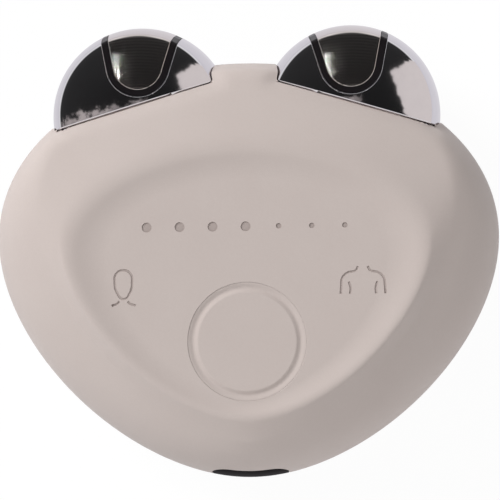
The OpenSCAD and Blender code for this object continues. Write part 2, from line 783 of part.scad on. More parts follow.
// ---- Main board ----
module main_board() color(board_green) {
    difference() {
        translate([0, 0, board_under]) linear_extrude(board_t) difference() {
            polygon(rim_points(outline - inset(board_inset)));
            translate([-body_reach, board_y]) square(2 * body_reach);
            for (p = screw_places) translate(p) circle(boss_r + screw_gap);
        }
        for (p = board_screws_at) at(p) rod(small_screw_r + screw_gap, board_under - 1, board_z + 1);
    }
}
module board_screws() color(steel) {
    for (p = board_screws_at) translate([p[0], p[1], board_under]) {
        rod(1.8 * small_screw_r, -small_screw_r, 0);
        rod(small_screw_r, -small_screw_r, small_screw_length);
    }
}
module switch_body() color(black) translate([0, button_y, board_z]) {
    stem_foot = switch_height + stem_rise - stem_length;
    difference() {
        block([switch_side, switch_side, switch_height], [0, 0, 0]);
        rod(stem_r + button_gap, stem_foot - button_travel - fit_gap, switch_height + 1);
    }
}
module switch_stem() color(steel) translate([0, button_y, 0]) rod(stem_r, stem_z - stem_length, stem_z);
module controller_chip() color(black) {
    block([chip_side, chip_side, chip_height], [-chip_x, chip_y, board_z]);
    block([driver_length, driver_width, chip_height], [driver_x, chip_y, board_z]);
}
module boost_coil() color("#5b5148") {
    flange = coil_height / 5;
    translate([coil_x, chip_y, board_z]) {
        rod(coil_r, 0, flange);
        rod(coil_r - flange, 0, coil_height);
        rod(coil_r, coil_height - flange, coil_height);
    }
}
module mode_lights() color("#f3efd9") {
    for (x = [-light_x, light_x]) block(light_size, [x, button_y + light_rise, board_z]);
}
module light_pipes() color("#e8eef2") {
    for (x = [-light_x, light_x])
        at([x, button_y + light_rise]) rod(light_r, board_z + light_size[2] + fit_gap, skin_under - lie_gap);
}
module socket(x, y) block([socket_length, socket_width, socket_height], [x, y, board_under - socket_height]);
module lead_sockets() color("#e9e4d6") {
    for (x = [-ear_socket_x, ear_socket_x, battery_socket_x, -motor_socket_x]) socket(x, upper_socket_y);
    socket(jack_socket_x, jack_socket_y);
}

// ---- Battery ----
module battery_cell() color("#c9ccd1") translate([0, cell_y, floor_z + lie_gap + tray_wall + lie_gap])
    linear_extrude(cell_thick) rounded(cell_half_x, cell_half_y, cell_corner);
module battery_tray() color(black) translate([0, cell_y, floor_z + lie_gap]) {
    hx = cell_half_x + cell_gap;
    hy = cell_half_y + cell_gap;
    difference() {
        linear_extrude(tray_height) rounded(hx + tray_wall, hy + tray_wall, cell_corner + tray_wall);
        translate([0, 0, tray_wall]) linear_extrude(tray_height) rounded(hx, hy, cell_corner);
        for (x = [-hx, hx] / 2) block([tray_notch, 3 * hy, tray_height], [x, 0, 2 * tray_wall]);
    }
}

// ---- Pulse motor ----
end_play = 0.8;
module at_motor() translate([0, motor_y, motor_z]) children();
module motor_can() color(steel) at_motor() {
    difference() {
        rod(motor_r, can_start, can_end, "x");
        rod(motor_r - motor_wall, can_start + motor_wall, can_end - motor_wall, "x");
        rod(bush_r, can_start - 1, can_end + 1, "x");
    }
}
module motor_bushes() color(brass) at_motor() {
    for (x = [can_start, can_end - bush_length]) difference() {
        rod(bush_r, x, x + bush_length, "x");
        rod(shaft_r + shaft_gap, x - 1, x + bush_length + 1, "x");
    }
}
module motor_shaft() color(steel) at_motor()
    rod(shaft_r, can_start + fit_gap, can_end + weight_length + end_play, "x");
module motor_armature() color("#8a5a34") at_motor() {
    difference() {
        rod(armature_r, can_start + bush_length + end_play, can_end - bush_length - end_play, "x");
        rod(shaft_r, can_start, can_end, "x");
    }
}
module motor_weight() color("#77797d") at_motor() {
    difference() {
        rod(weight_r, can_end + end_play, can_end + end_play + weight_length, "x");
        rod(shaft_r, can_end, can_end + 2 * weight_length, "x");
        block([4 * weight_length, 3 * weight_r, weight_r], [can_end, 0, 2 * shaft_r]);
    }
}
module motor_boot() color(black) at_motor() {
    half = motor_r + boot_wall;
    difference() {
        block([motor_length - 3 * end_play, 2 * half, 2 * half], [-motor_shift, 0, -half]);
        rod(motor_r + fit_gap, can_start, can_end, "x");
    }
}

// ---- Charging end ----
module jack_axis(r, from, to) translate([0, 0, waist_z]) rod(r, from, to, "y");
module charge_plate() color(black) {
    difference() {
        union() {
            difference() {
                intersection() {
                    body_skin_solid();
                    plate_prism(0, hub_length);
                }
                body_core(plate_t);
            }
            jack_axis(hub_r, tip_y + plate_t / 2, tip_y + hub_length);
        }
        jack_axis(sleeve_r + fit_gap, tip_y - 1, tip_y + hub_length + 1);
    }
}
module jack_sleeve() color(steel) {
    difference() {
        jack_axis(sleeve_r, sleeve_y, sleeve_y + sleeve_length);
        jack_axis(jack_r, sleeve_y - 1, sleeve_y + sleeve_length + 1);
    }
}
module jack_seal_ring() color(black) {
    difference() {
        jack_axis(sleeve_r + 1.3, tip_y + hub_length, jack_body_y);
        jack_axis(sleeve_r + fit_gap, tip_y, jack_body_y + 1);
    }
}
module jack_body() color(black) {
    difference() {
        block([jack_side, jack_length, jack_side],
            [0, jack_body_y + jack_length / 2, waist_z - jack_side / 2]);
        jack_axis(sleeve_r + fit_gap, jack_body_y - 1, jack_back_y - jack_wall);
    }
}
module jack_contact() color(brass) jack_axis(sleeve_r, sleeve_y + sleeve_length, jack_back_y - jack_wall);

// ---- Leads ----
// Each lead starts square to the piece it leaves and ends square to the mouth of its socket.
lead_gap = 0.15;
lead_red = "#b3322c";
socket_z = board_under - socket_height / 2;
socket_mouth = upper_socket_y + socket_width / 2 + lead_gap;
module ear_leads() color(lead_red) both_sides() {
    inner = ear_point(passage_u, pin_head, 0);
    mouth = ear_point(passage_u, shoulder_v, 0);
    out = 9 * unit(mouth - inner);
    for (s = [-1, 1]) {
        up = [0, 0, s * passage_z];
        lead(mouth + up, out, [s - ear_socket_x, socket_mouth, socket_z], [0, 5, 0],
            [inner + up, (inner + mouth) / 2 + up]);
    }
}
module battery_leads() color(lead_red) {
    y = tray_top_y + lead_gap;
    for (x = [battery_socket_x - 1, battery_socket_x + 1])
        lead([x, y, floor_z + tray_height + 1], [0, 3, 0], [x, socket_mouth, socket_z], [0, 3, 0]);
}
module motor_leads() color(lead_red) {
    for (y = [-1, 1])
        lead([can_start - lead_gap, motor_y + y * (bush_r + 2 * lead_r), motor_z], [-5, 0, 0],
            [y - motor_socket_x, socket_mouth, socket_z], [0, 5, 0]);
}
module jack_leads() color(lead_red) {
    for (x = [-1, 1])
        lead([1.5 * x, jack_back_y + lead_gap, waist_z], [0, 2.5, 0],
            [jack_socket_x + x, jack_socket_y - socket_width / 2 - lead_gap, socket_z], [0, -2.5, 0]);
}

front_skin();
rear_skin();
button_pad();
front_housing();
rear_housing();
housing_seal();
left_ear_shell();
left_ear_tongue();
left_ear_frame();
left_ear_gasket();
left_ear_pins();
right_ear_shell();
right_ear_tongue();
right_ear_frame();
right_ear_gasket();
right_ear_pins();
button_plunger();
switch_body();
switch_stem();
main_board();
board_screws();
controller_chip();
boost_coil();
mode_lights();
light_pipes();
lead_sockets();
battery_cell();
battery_tray();
motor_can();
motor_bushes();
motor_shaft();
motor_armature();
motor_weight();
motor_boot();
charge_plate();
jack_sleeve();
jack_seal_ring();
jack_body();
jack_contact();
housing_screws();
ear_leads();
battery_leads();
motor_leads();
jack_leads();
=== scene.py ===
# %% [markdown]
# # A hand-held facial toning device
#
# The device is a heart-shaped body of soft silicone with two chromed ears. Its hard parts, joints
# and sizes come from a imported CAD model. This lesson gives them their looks: fine surfaces where
# light runs over them, and a material for every piece.

import math

import bmesh
import bpy
from mathutils import Matrix, Vector, kdtree


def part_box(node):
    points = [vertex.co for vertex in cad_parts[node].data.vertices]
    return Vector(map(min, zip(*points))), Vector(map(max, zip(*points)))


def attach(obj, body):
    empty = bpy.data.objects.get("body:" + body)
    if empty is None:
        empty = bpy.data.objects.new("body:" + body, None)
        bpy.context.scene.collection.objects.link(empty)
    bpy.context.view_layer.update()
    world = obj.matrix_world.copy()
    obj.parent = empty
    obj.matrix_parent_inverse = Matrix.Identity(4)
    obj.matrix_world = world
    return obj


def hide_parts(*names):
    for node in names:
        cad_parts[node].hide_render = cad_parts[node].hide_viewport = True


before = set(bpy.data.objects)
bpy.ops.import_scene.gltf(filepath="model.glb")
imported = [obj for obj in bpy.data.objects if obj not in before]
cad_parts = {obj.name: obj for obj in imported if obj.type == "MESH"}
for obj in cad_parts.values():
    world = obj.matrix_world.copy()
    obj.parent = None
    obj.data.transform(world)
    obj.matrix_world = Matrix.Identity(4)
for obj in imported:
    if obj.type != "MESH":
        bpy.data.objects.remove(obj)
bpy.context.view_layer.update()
scene = bpy.context.scene
scene.view_settings.view_transform = "Standard"
print("nodes in the frame:", len(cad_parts))

# %% [markdown]
# ## Sizes
#
# Lengths are written in millimetres and turned into metres once, by `MM`. What the frame can tell
# is read from it: the height of the widest line, the front, and where the ears and the button are.

# %% Sizes from the frame
MM = 0.001


def box_mm(node):
    """The lowest and highest corner of a CAD node, in millimetres."""
    return [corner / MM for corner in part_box(node)]


DISH_DEPTH, SLEEVE_SUNK = 1.4, 0.15
pad_low, pad_high = box_mm("button_pad")
plate_low, plate_high = box_mm("charge_plate")
WAIST_Z = box_mm("rear_skin")[1].z
DISH_Z = pad_high.z
TIP_Y = box_mm("jack_sleeve")[0].y - SLEEVE_SUNK
BUTTON_Y = (pad_low.y + pad_high.y) / 2
print("waist", round(WAIST_Z, 2), "dish", round(DISH_Z, 2), "tip", round(TIP_Y, 2))

# %% [markdown]
# ## The shape of the body
#
# Each level line of the body is a support function: its reach in the direction `turn` is a sum of
# cosines, six numbers in all. A station along the profile holds those six numbers, three more
# for its height, and one for the lean of the surface. Numbers of this kind can be mixed, so the
# wall, the band above it and the dish are short formulas, and every soft corner is a Bezier blend.
# The body could be sculpted by hand, but then it would no longer follow from a few known numbers.

# %% Stations of the body
REACH, OVAL, HEART, SQUARE, TIP = 43.15, 4.13, 1.74, 0.28, 0.22
MIDDLE_Y = TIP_Y + REACH - OVAL + HEART + SQUARE + TIP
EDGE_LEAN, BAND_LEAN, CREST_IN, CREST_OUT = 45.0, 66.0, 80.0, 94.0
EDGE_STEP = (6.7, -3.6, -1.8, 1.25, 0, 0, -13.9, 1.2, 0.4, -EDGE_LEAN)
CREST_STEP = (14.5, 2, 0, 0, 0, 0, WAIST_Z - DISH_Z - DISH_DEPTH, 0, 0, -CREST_IN)
DISH_STEP = (6, 1.5, -1.5)
WALL_BULGE = 1.2
BACK_INSET = 15.0


def mix(a, b, u):
    """The row that lies the share u of the way from a to b."""
    return [p + (q - p) * u for p, q in zip(a, b)]


def less(a, b):
    """The row a, with its first numbers lowered by those of b."""
    return [p - q for p, q in zip(a, list(b) + [0] * (len(a) - len(b)))]


outline = [REACH, MIDDLE_Y, -OVAL, -HEART, SQUARE, -TIP, 0, 0, 0, 0]
edge = less(outline, EDGE_STEP)
crest = less(outline, CREST_STEP)
dish = less(crest, DISH_STEP)
print("reach at the waist, edge and crest:", [round(row[0], 2) for row in (outline, edge, crest)])

# %% [markdown]
# ## From the waist to the dish, and down the back
#
# Each stretch of the profile is a function of a share from 0 to 1. Where two stretches meet, the
# corner is left out and a blend of three stations takes its place, as in moulded silicone, which has
# no hard edge.

# %% Profile of the body
WALL_END, BAND_START, BAND_END, BOWL_START = 0.86, 0.16, 0.8, 0.3
WALL_RINGS, BAND_RINGS, CORNER_RINGS, BOWL_RINGS, BACK_RINGS = 24, 11, 7, 7, 22


def wall(s):
    """From the waist at s = 0 to the front edge at s = 1."""
    row = mix(outline, edge, s * s)
    rise = WALL_BULGE * s - (WALL_BULGE - 1) * s * s
    row[6:9] = [height * rise for height in edge[6:9]]
    return row


def band(u):
    """From the front edge to the crest."""
    row = mix(edge, crest, u)
    row[9] = BAND_LEAN + (CREST_IN - BAND_LEAN) * u
    return row


def bowl(u):
    """From the crest to the dish floor."""
    row = mix(crest, dish, u)
    row[6] = crest[6] - DISH_DEPTH * math.sin(math.pi * u / 2)
    row[9] = CREST_OUT + (90 - CREST_OUT) * u
    return row


def back(angle):
    """Down the back, from the waist at 0 to the flat face at 90 degrees."""
    turned = math.radians(angle)
    row = less(outline, (BACK_INSET * (1 - math.cos(turned)),))
    row[6], row[9] = -WAIST_Z * math.sin(turned), -angle
    return row


def knee(a, b, corner, lean, u):
    """A soft corner from a to b, drawn towards the corner."""
    corner = corner[:9] + [lean]
    return mix(mix(a, corner, u), mix(corner, b, u), u)


def steps(count, first=0.0, last=1.0):
    """The ends of that many equal steps, without the first end."""
    return [first + (last - first) * (k + 1) / count for k in range(count)]


def front_edge(u):
    """The soft corner between the wall and the band."""
    return knee(wall(WALL_END), band(BAND_START), edge, (EDGE_LEAN + BAND_LEAN) / 2, u)


def dish_edge(u):
    """The soft corner between the band and the dish."""
    return knee(band(BAND_END), bowl(BOWL_START), crest, (CREST_IN + CREST_OUT) / 2, u)


front_run = [outline] + [wall(s) for s in steps(WALL_RINGS, 0, WALL_END)]
front_run += [front_edge(u) for u in steps(CORNER_RINGS)]
front_run += [band(u) for u in steps(BAND_RINGS, BAND_START, BAND_END)]
front_run += [dish_edge(u) for u in steps(CORNER_RINGS)]
front_run += [bowl(u) for u in steps(BOWL_RINGS, BOWL_START, 1)]
rear_run = [outline] + [back(angle) for angle in steps(BACK_RINGS, 0, 90)]
print("stations:", len(front_run), "in front,", len(rear_run), "behind")

# %% [markdown]
# ## Rings and lofts
#
# A loft starts as one circle from a bmesh operator. Its edge loop is extruded again and again, and
# each new loop is moved onto its ring. A number kept on every vertex, `column`, says which point of
# the ring it belongs to, because an extrusion copies that number.

# %% Loft helpers
AROUND = 360


def cosines(row, turn):
    """The sum of cosines in that direction, and its slope."""
    value = sum(c * math.cos(k * turn) for k, c in enumerate(row))
    slope = -sum(k * c * math.sin(k * turn) for k, c in enumerate(row))
    return value, slope


def ring_point(row, turn, depth=0.0):
    """A point of a station's ring, in millimetres, moved inwards by depth."""
    lean = math.radians(row[9])
    reach, slope = cosines(row[:6], turn)
    reach -= depth * math.cos(lean)
    x = -reach * math.sin(turn) - slope * math.cos(turn)
    y = reach * math.cos(turn) - slope * math.sin(turn)
    return Vector((x, y, WAIST_Z + cosines(row[6:9], turn)[0] - depth * math.sin(lean)))


def keep(bm, name):
    """Turns a bmesh into an object with smooth faces that point outwards."""
    bmesh.ops.recalc_face_normals(bm, faces=bm.faces)
    for face in bm.faces:
        face.smooth = True
    mesh = bpy.data.meshes.new(name)
    bm.to_mesh(mesh)
    bm.free()
    piece = bpy.data.objects.new(name, mesh)
    scene.collection.objects.link(piece)
    return piece


def loft(name, rings, drop=None):
    """A closed piece through rings of (station, depth), with a flat face at both ends. Where drop is
    given, it says how far a point at depth 0 is drawn down."""
    bm = bmesh.new()
    column = bm.verts.layers.int.new("column")
    loop = bmesh.ops.create_circle(bm, segments=AROUND, radius=1)["verts"]
    rim = bm.edges[:]
    for k, vert in enumerate(loop):
        vert[column] = k
    for k, (row, depth) in enumerate(rings):
        if k:
            grown = bmesh.ops.extrude_edge_only(bm, edges=rim)["geom"]
            loop = [part for part in grown if isinstance(part, bmesh.types.BMVert)]
            edges = [part for part in grown if isinstance(part, bmesh.types.BMEdge)]
            rim = [part for part in edges if part.is_boundary]
        for vert in loop:
            point = ring_point(row, 2 * math.pi * vert[column] / AROUND, depth)
            if drop and depth == 0:
                point.z -= drop(point)
            vert.co = point * MM
    bmesh.ops.holes_fill(bm, edges=[e for e in bm.edges if e.is_boundary], sides=0)
    return keep(bm, name)


print("points round each ring:", AROUND)

# %% [markdown]
# ## Cutting
#
# The openings are cut with Boolean modifiers, which are exact but care about the order of a mesh's
# points and faces, and that order changes from run to run. So `ordered` sorts both before each cut.
# `settle` then writes the result into the mesh, and the cutters are removed.

# %% Cutting helpers
DOUBLE = 1e-7


def settle(piece):
    """Writes the piece's modifiers into its mesh."""
    seen = piece.evaluated_get(bpy.context.evaluated_depsgraph_get())
    mesh = bpy.data.meshes.new_from_object(seen)
    piece.modifiers.clear()
    old = piece.data
    piece.data = mesh
    bpy.data.meshes.remove(old)
    mesh.name = piece.name
    return piece


def ordered(piece):
    """Puts a piece's points, edges and faces in one fixed order, the same in every run."""
    spots = [tuple(vert.co) for vert in piece.data.vertices]
    number = {spot: k for k, spot in enumerate(sorted(set(spots)))}
    loops = []
    for face in piece.data.polygons:
        loop = list(dict.fromkeys(number[spots[k]] for k in face.vertices))
        first = loop.index(min(loop))
        if len(loop) > 2:
            loops.append(loop[first:] + loop[:first])
    bm = bmesh.new()
    verts = [bm.verts.new(spot) for spot in number]
    for loop in sorted(loops):
        bm.faces.new([verts[k] for k in loop]).smooth = True
    bm.to_mesh(piece.data)
    bm.free()
    return piece


def cut(piece, cutters, operation="DIFFERENCE"):
    """Cuts the piece by each cutter in turn, and removes the cutters."""
    for cutter in cutters:
        ordered(piece)
        ordered(cutter)
        tool = piece.modifiers.new("cut", "BOOLEAN")
        tool.operation, tool.solver, tool.object = operation, "EXACT", cutter
        settle(piece)
        bpy.data.objects.remove(cutter)
    return piece


print("points closer than", DOUBLE / MM, "mm count as one")

# %% [markdown]
# ## Rounding
#
# A cut leaves a knife edge, which nothing moulded or pressed has. A Bevel modifier rounds it. Narrow
# faces beside the edge would fold over under it, so their points are first pushed back to make room.
# At the end, weighted normals keep the large faces even.

# %% Rounding helpers
MERGE, SLIVER = 0.02, 0.005
ROOM_NEAR, ROOM_FAR, ROOM_SAMPLES = 1.1, 2.2, 12


def make_room(bm, sharp, width):
    """Pushes the vertices beside the sharp edges back, so that a rounding of that width has room."""
    near, far = ROOM_NEAR * width, ROOM_FAR * width
    ends = [(edge.verts[0].co, edge.verts[1].co) for edge in sharp]
    line = [a.lerp(b, k / ROOM_SAMPLES) for a, b in ends for k in range(ROOM_SAMPLES)]
    tree = kdtree.KDTree(len(line))
    for k, point in enumerate(line):
        tree.insert(point, k)
    tree.balance()
    on_edge = {vert for edge in sharp for vert in edge.verts}
    for vert in bm.verts:
        if vert not in on_edge:
            point, _, gap = tree.find(vert.co)
            if gap < far:
                vert.co = point + (vert.co - point).normalized() * (near + gap * (1 - near / far))


def soften(piece, width, segments=3, angle=30.0, share=None):
    """Rounds the edges sharper than the angle. Where share is given, it says how much of the width
    an edge at that point gets."""
    bm = bmesh.new()
    bm.from_mesh(ordered(piece).data)
    bmesh.ops.remove_doubles(bm, verts=bm.verts, dist=MERGE * MM)
    bmesh.ops.dissolve_degenerate(bm, edges=bm.edges, dist=SLIVER * MM)
    bm.to_mesh(piece.data)
    bm.free()
    bm = bmesh.new()
    bm.from_mesh(ordered(piece).data)
    weight = bm.edges.layers.float.new("bevel_weight_edge")
    sharp = [edge for edge in bm.edges if edge.calc_face_angle(0) > math.radians(angle)]
    for edge in sharp:
        middle = edge.verts[0].co.lerp(edge.verts[1].co, 0.5) / MM
        edge[weight] = share(middle) if share else 1
    make_room(bm, sharp, width * MM)
    for face in bm.faces:
        face.smooth = True
    bm.to_mesh(piece.data)
    bm.free()
    rounding = piece.modifiers.new("rounding", "BEVEL")
    rounding.width, rounding.segments, rounding.use_clamp_overlap = width * MM, segments, False
    rounding.limit_method, rounding.harden_normals = "WEIGHT", True
    settle(piece)
    piece.data.attributes.remove(piece.data.attributes["bevel_weight_edge"])
    return piece


def even_out(piece, angle=40.0):
    """Closes the mesh where points lie on each other, shades large faces evenly and keeps edges
    above the angle hard."""
    bm = bmesh.new()
    bm.from_mesh(piece.data)
    bmesh.ops.remove_doubles(bm, verts=bm.verts, dist=DOUBLE)
    bm.to_mesh(piece.data)
    bm.free()
    ordered(piece)
    piece.data.set_sharp_from_angle(angle=math.radians(angle))
    evening = piece.modifiers.new("evening", "WEIGHTED_NORMAL")
    evening.keep_sharp = True
    return settle(piece)


print("room beside a rounding:", ROOM_FAR, "widths")

# %% [markdown]
# ## Twins, turned pieces and bars
#
# The device is the same on both sides, so the right ear is a mirrored copy of the left one. A mirror
# turns the faces inside out, and they are flipped back. Round pieces are spun from a profile, and a
# bar is an outline that is swept along a straight line.

# %% Copies, spins and bars
def copy_of(piece, name):
    """A second piece with a mesh of its own."""
    twin = bpy.data.objects.new(name, piece.data.copy())
    scene.collection.objects.link(twin)
    return twin


def mirrored(piece, name):
    """The same piece on the other side of the centre line."""
    twin = copy_of(piece, name)
    twin.data.transform(Matrix.Scale(-1, 4, (1, 0, 0)))
    twin.data.flip_normals()
    return twin


def spun(name, profile, turns=AROUND, place=None):
    """A piece of revolution from (radius, height) points in millimetres."""
    bm = bmesh.new()
    verts = [bm.verts.new((r * MM, 0, h * MM)) for r, h in profile]
    edges = [bm.edges.new(pair) for pair in zip(verts, verts[1:])]
    bmesh.ops.spin(bm, geom=verts + edges, axis=(0, 0, 1), angle=2 * math.pi, steps=turns,
                   use_merge=True)
    bmesh.ops.remove_doubles(bm, verts=bm.verts, dist=DOUBLE)
    bmesh.ops.transform(bm, matrix=place or Matrix(), verts=bm.verts)
    return keep(bm, name)


def bar(bm, points, step):
    """The solid that an outline sweeps when it moves by that step."""
    face = bm.faces.new([bm.verts.new(point) for point in points])
    grown = bmesh.ops.extrude_face_region(bm, geom=[face])["geom"]
    far = [part for part in grown if isinstance(part, bmesh.types.BMVert)]
    bmesh.ops.translate(bm, verts=far, vec=step)


def arc(centre, radius, first, last, count):
    """Points of an arc, with angles in degrees."""
    angles = [math.radians(first + (last - first) * k / count) for k in range(count + 1)]
    return [(centre[0] + radius * math.cos(a), centre[1] + radius * math.sin(a)) for a in angles]


print("pieces are spun in", AROUND, "steps")

# %% [markdown]
# ## The ears
#
# An ear is a thick disc: two gently domed facets and a rim that bulges a little. It is spun from half
# of its profile. The sharp crease between facet and rim is a small fillet, because that is where
# polished metal catches the light.

# %% The ear's form
EAR_R, FACET_R, EAR_HALF, EAR_DOME = 17.0, 14.9, 11.5, 1.4
EAR_WALL, EAR_TILT, EAR_SEAM, EAR_GAP, EAR_NECK = 1.2, math.radians(16.5), 1.6, 0.15, 0.6
EAR_PLUG_V, SHOULDER_V = EAR_SEAM - 3.2, EAR_SEAM - 6.7
CREASE = 0.4
EAR_TURNS, FACET_STEPS, RIM_STEPS, CREASE_STEPS = 180, 14, 24, 5
EAR_X = box_mm("left_ear_shell")[0].x + EAR_R
EAR_Y = box_mm("left_ear_tongue")[1].y - EAR_R
EAR_AT = Vector((EAR_X, EAR_Y, WAIST_Z)) * MM
EAR_PLACE = Matrix.Translation(EAR_AT) @ Matrix.Rotation(EAR_TILT, 4, "Z")
print("ear axis", round(EAR_X, 2), round(EAR_Y, 2))


def ear_profile(grow):
    """Half of the ear's section, from the middle of one facet to the middle of the other."""
    r, h, bulge = FACET_R + grow, EAR_HALF + grow, EAR_R - FACET_R
    dome_r = (r * r + EAR_DOME * EAR_DOME) / (2 * EAR_DOME)
    rim_r = (h * h + bulge * bulge) / (2 * bulge)
    dome_end = math.degrees(math.asin((r - CREASE) / dome_r))
    rim_end = math.degrees(math.asin((h - CREASE) / rim_r))
    facet = arc((0, h + EAR_DOME - dome_r), dome_r, 90, 90 - dome_end, FACET_STEPS)
    rim = arc((r + bulge - rim_r, 0), rim_r, rim_end, -rim_end, RIM_STEPS)
    shares = steps(CREASE_STEPS)[:-1]
    corner = [mix(mix(facet[-1], (r, h), u), mix((r, h), rim[0], u), u) for u in shares]
    facet[0] = (0, facet[0][1])
    return facet + corner + rim + [(a, -b) for a, b in reversed(facet + corner)]


def cut_off(piece, low):
    """Keeps what lies above the height low on the ear's tilted axis, and puts it in place."""
    bm = bmesh.new()
    bm.from_mesh(piece.data)
    bmesh.ops.bisect_plane(bm, geom=bm.verts[:] + bm.edges[:] + bm.faces[:],
                           plane_co=(0, low * MM, 0), plane_no=(0, 1, 0), clear_inner=True)
    bmesh.ops.holes_fill(bm, edges=[e for e in bm.edges if e.is_boundary], sides=0)
    bmesh.ops.transform(bm, matrix=EAR_PLACE, verts=bm.verts)
    bmesh.ops.recalc_face_normals(bm, faces=bm.faces)
    bm.to_mesh(piece.data)
    bm.free()
    return piece


def ear_blank(name, grow, low):
    """The ear grown by that much, cut off at the height low."""
    return cut_off(spun(name, ear_profile(grow), EAR_TURNS), low)


# %% [markdown]
# ## The chromed shells
#
# The electrode shell is thin metal, with a step at its seam and a slimmer neck below it, which the
# silicone closes round. The full ear and a slimmer one that reaches lower are joined for this, and
# the same form made smaller by the wall hollows it out.

# %% Ear shells
TONGUE_R, TONGUE_FLARE, TONGUE_RISE, TONGUE_LEAN = 4.6, 14.0, 4.5, math.radians(3)
BAND_WIDTH, TONGUE_STEPS = 1.25, 48


def ear_form(name, grow, foot):
    """The ear grown by that much, with a slimmer neck from its seam down to the foot."""
    full = ear_blank(name, grow, EAR_SEAM + EAR_GAP - grow)
    return cut(full, [ear_blank("cutter", grow - EAR_NECK, foot)], "UNION")


def tongue_cutter(grow):
    """A tall prism with the tongue's outline: a round end and two flared sides."""
    bm = bmesh.new()
    r, reach = TONGUE_R + grow, EAR_R
    sine, cosine = math.sin(math.radians(TONGUE_FLARE)), math.cos(math.radians(TONGUE_FLARE))
    points = arc((0, 0), r, 180 + TONGUE_FLARE, 360 - TONGUE_FLARE, TONGUE_STEPS)
    arm = (r * cosine + reach * sine, reach * cosine - r * sine)
    points += [arm, (-arm[0], arm[1])]
    bar(bm, [(x * MM, y * MM, -EAR_R * MM) for x, y in points], (0, 0, 2 * EAR_R * MM))
    place = Matrix.Translation(Vector((EAR_X, EAR_Y + TONGUE_RISE + TONGUE_R, WAIST_Z)) * MM)
    bmesh.ops.transform(bm, matrix=place @ Matrix.Rotation(-TONGUE_LEAN, 4, "Z"), verts=bm.verts)
    return keep(bm, "cutter")


left_shell = ear_form("left_ear_shell_polished", 0, EAR_PLUG_V)
cut(left_shell, [ear_form("cutter", -EAR_WALL, EAR_PLUG_V - 1)])
left_tongue = copy_of(left_shell, "left_ear_tongue_polished")
cut(left_shell, [tongue_cutter(BAND_WIDTH)])
cut(left_tongue, [tongue_cutter(0)], "INTERSECT")
TO_EAR = EAR_PLACE.inverted()
SHELL_EDGE, TONGUE_EDGE, OTHER_SHARE, ON_SEAM = 0.28, 0.15, 0.6, 0.1


def seam_share(point):
    """The edge along the seam is rounded in full, and the others less."""
    height = (TO_EAR @ (point * MM)).y / MM - EAR_SEAM - EAR_GAP
    return 1 if abs(height) < ON_SEAM else OTHER_SHARE


soften(left_shell, SHELL_EDGE, share=seam_share)
soften(left_tongue, TONGUE_EDGE)
right_shell = mirrored(left_shell, "right_ear_shell_polished")
right_tongue = mirrored(left_tongue, "right_ear_tongue_polished")
for piece in (left_shell, left_tongue, right_shell, right_tongue):
    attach(piece, "root")
    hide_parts(piece.name.replace("_polished", ""))
    print(piece.name, len(piece.data.polygons), "faces")

# %% [markdown]
# ## The silicone skins
#
# The front skin is one closed loft: it runs down inside the wall from the middle of the front to the
# waist and back up outside. Beside the ears it is drawn down a little, to a soft lip. The rear skin
# is made alike.

# %% Skins
SKIN_WALL = 1.4
LIP_R, LIP_REACH, LIP_DROP, LIP_LOW, LIP_HIGH = 15.5, 3.2, 1.0, 5.0, 9.0


def clamped(value):
    """The value, kept between 0 and 1."""
    return min(max(value, 0), 1)


def lip_drop(point):
    """How far the front is drawn down near an ear, to end there in a soft lip."""
    near = TO_EAR @ (Vector((-abs(point.x), point.y, WAIST_Z)) * MM) / MM
    beside = max(0, abs(near.x) - math.sqrt(LIP_R ** 2 - EAR_SEAM ** 2))
    gap = near.xy.length - LIP_R if near.y > EAR_SEAM else math.hypot(beside, EAR_SEAM - near.y)
    height = clamped((point.z - WAIST_Z - LIP_LOW) / (LIP_HIGH - LIP_LOW))
    return LIP_DROP * height * (1 - clamped(gap / LIP_REACH)) ** 2


def skin(name, run, drop=None):
    """A wall of silicone along a run of stations: up inside, and back down outside."""
    return loft(name, [(row, SKIN_WALL) for row in run[::-1]] + [(row, 0) for row in run], drop)


front_skin = skin("front_skin_soft", front_run, lip_drop)
rear_skin = skin("rear_skin_soft", rear_run)
print("front", len(front_skin.data.polygons), "rear", len(rear_skin.data.polygons), "faces")

# %% [markdown]
# ## Room for the ears, the plate and the button
#
# Each skin is cut for the ears and for their necks, and its edges are rounded, but only a little where
# the two skins meet. The openings for the charging plate and the button come after that, because a
# hard part fills them: the plate's is a rounded bar, and the button's is spun with its own soft mouth.

# %% Openings in the skins
SKIN_EDGE, SKIN_ANGLE, WAIST_SHARE, ON_WAIST = 0.25, 40, 0.3, 0.02


def ear_pocket():
    """An ear's room in the skin above its seam, open to the front and to the back."""
    facet = FACET_STEPS + 1
    side = ear_profile(EAR_GAP)[facet:-facet]
    free, far = FACET_R + EAR_GAP, 2 * EAR_R
    profile = [(0, far), (free, far)] + side + [(free, -far), (0, -far)]
    return cut_off(spun("cutter", profile), EAR_SEAM)


def ear_cutters():
    """For both ears, the room above the seam and the neck's room below it."""
    neck = ear_blank("cutter", EAR_GAP - EAR_NECK, SHOULDER_V - EAR_GAP)
    left = [ear_pocket(), neck]
    return left + [mirrored(cutter, "cutter") for cutter in left]


def prism(half_x, half_z, corner, first, last):
    """A rounded bar along Y, between two distances from the charging end."""
    bm = bmesh.new()
    points = []
    for turn, sx, sz in ((0, 1, 1), (90, -1, 1), (180, -1, -1), (270, 1, -1)):
        points += arc((sx * (half_x - corner), sz * (half_z - corner)), corner, turn, turn + 90, 12)
    y = (TIP_Y + first) * MM
    bar(bm, [(x * MM, y, (WAIST_Z + z) * MM) for x, z in points], (0, (last - first) * MM, 0))
    return keep(bm, "cutter")


PLATE_X = (plate_high.x - plate_low.x) / 2
PLATE_Z = (plate_high.z - plate_low.z) / 2
PLATE_CORNER, PLATE_GAP, HUB_R, HUB_LENGTH = 3.5, 0.1, 4.5, 5.0


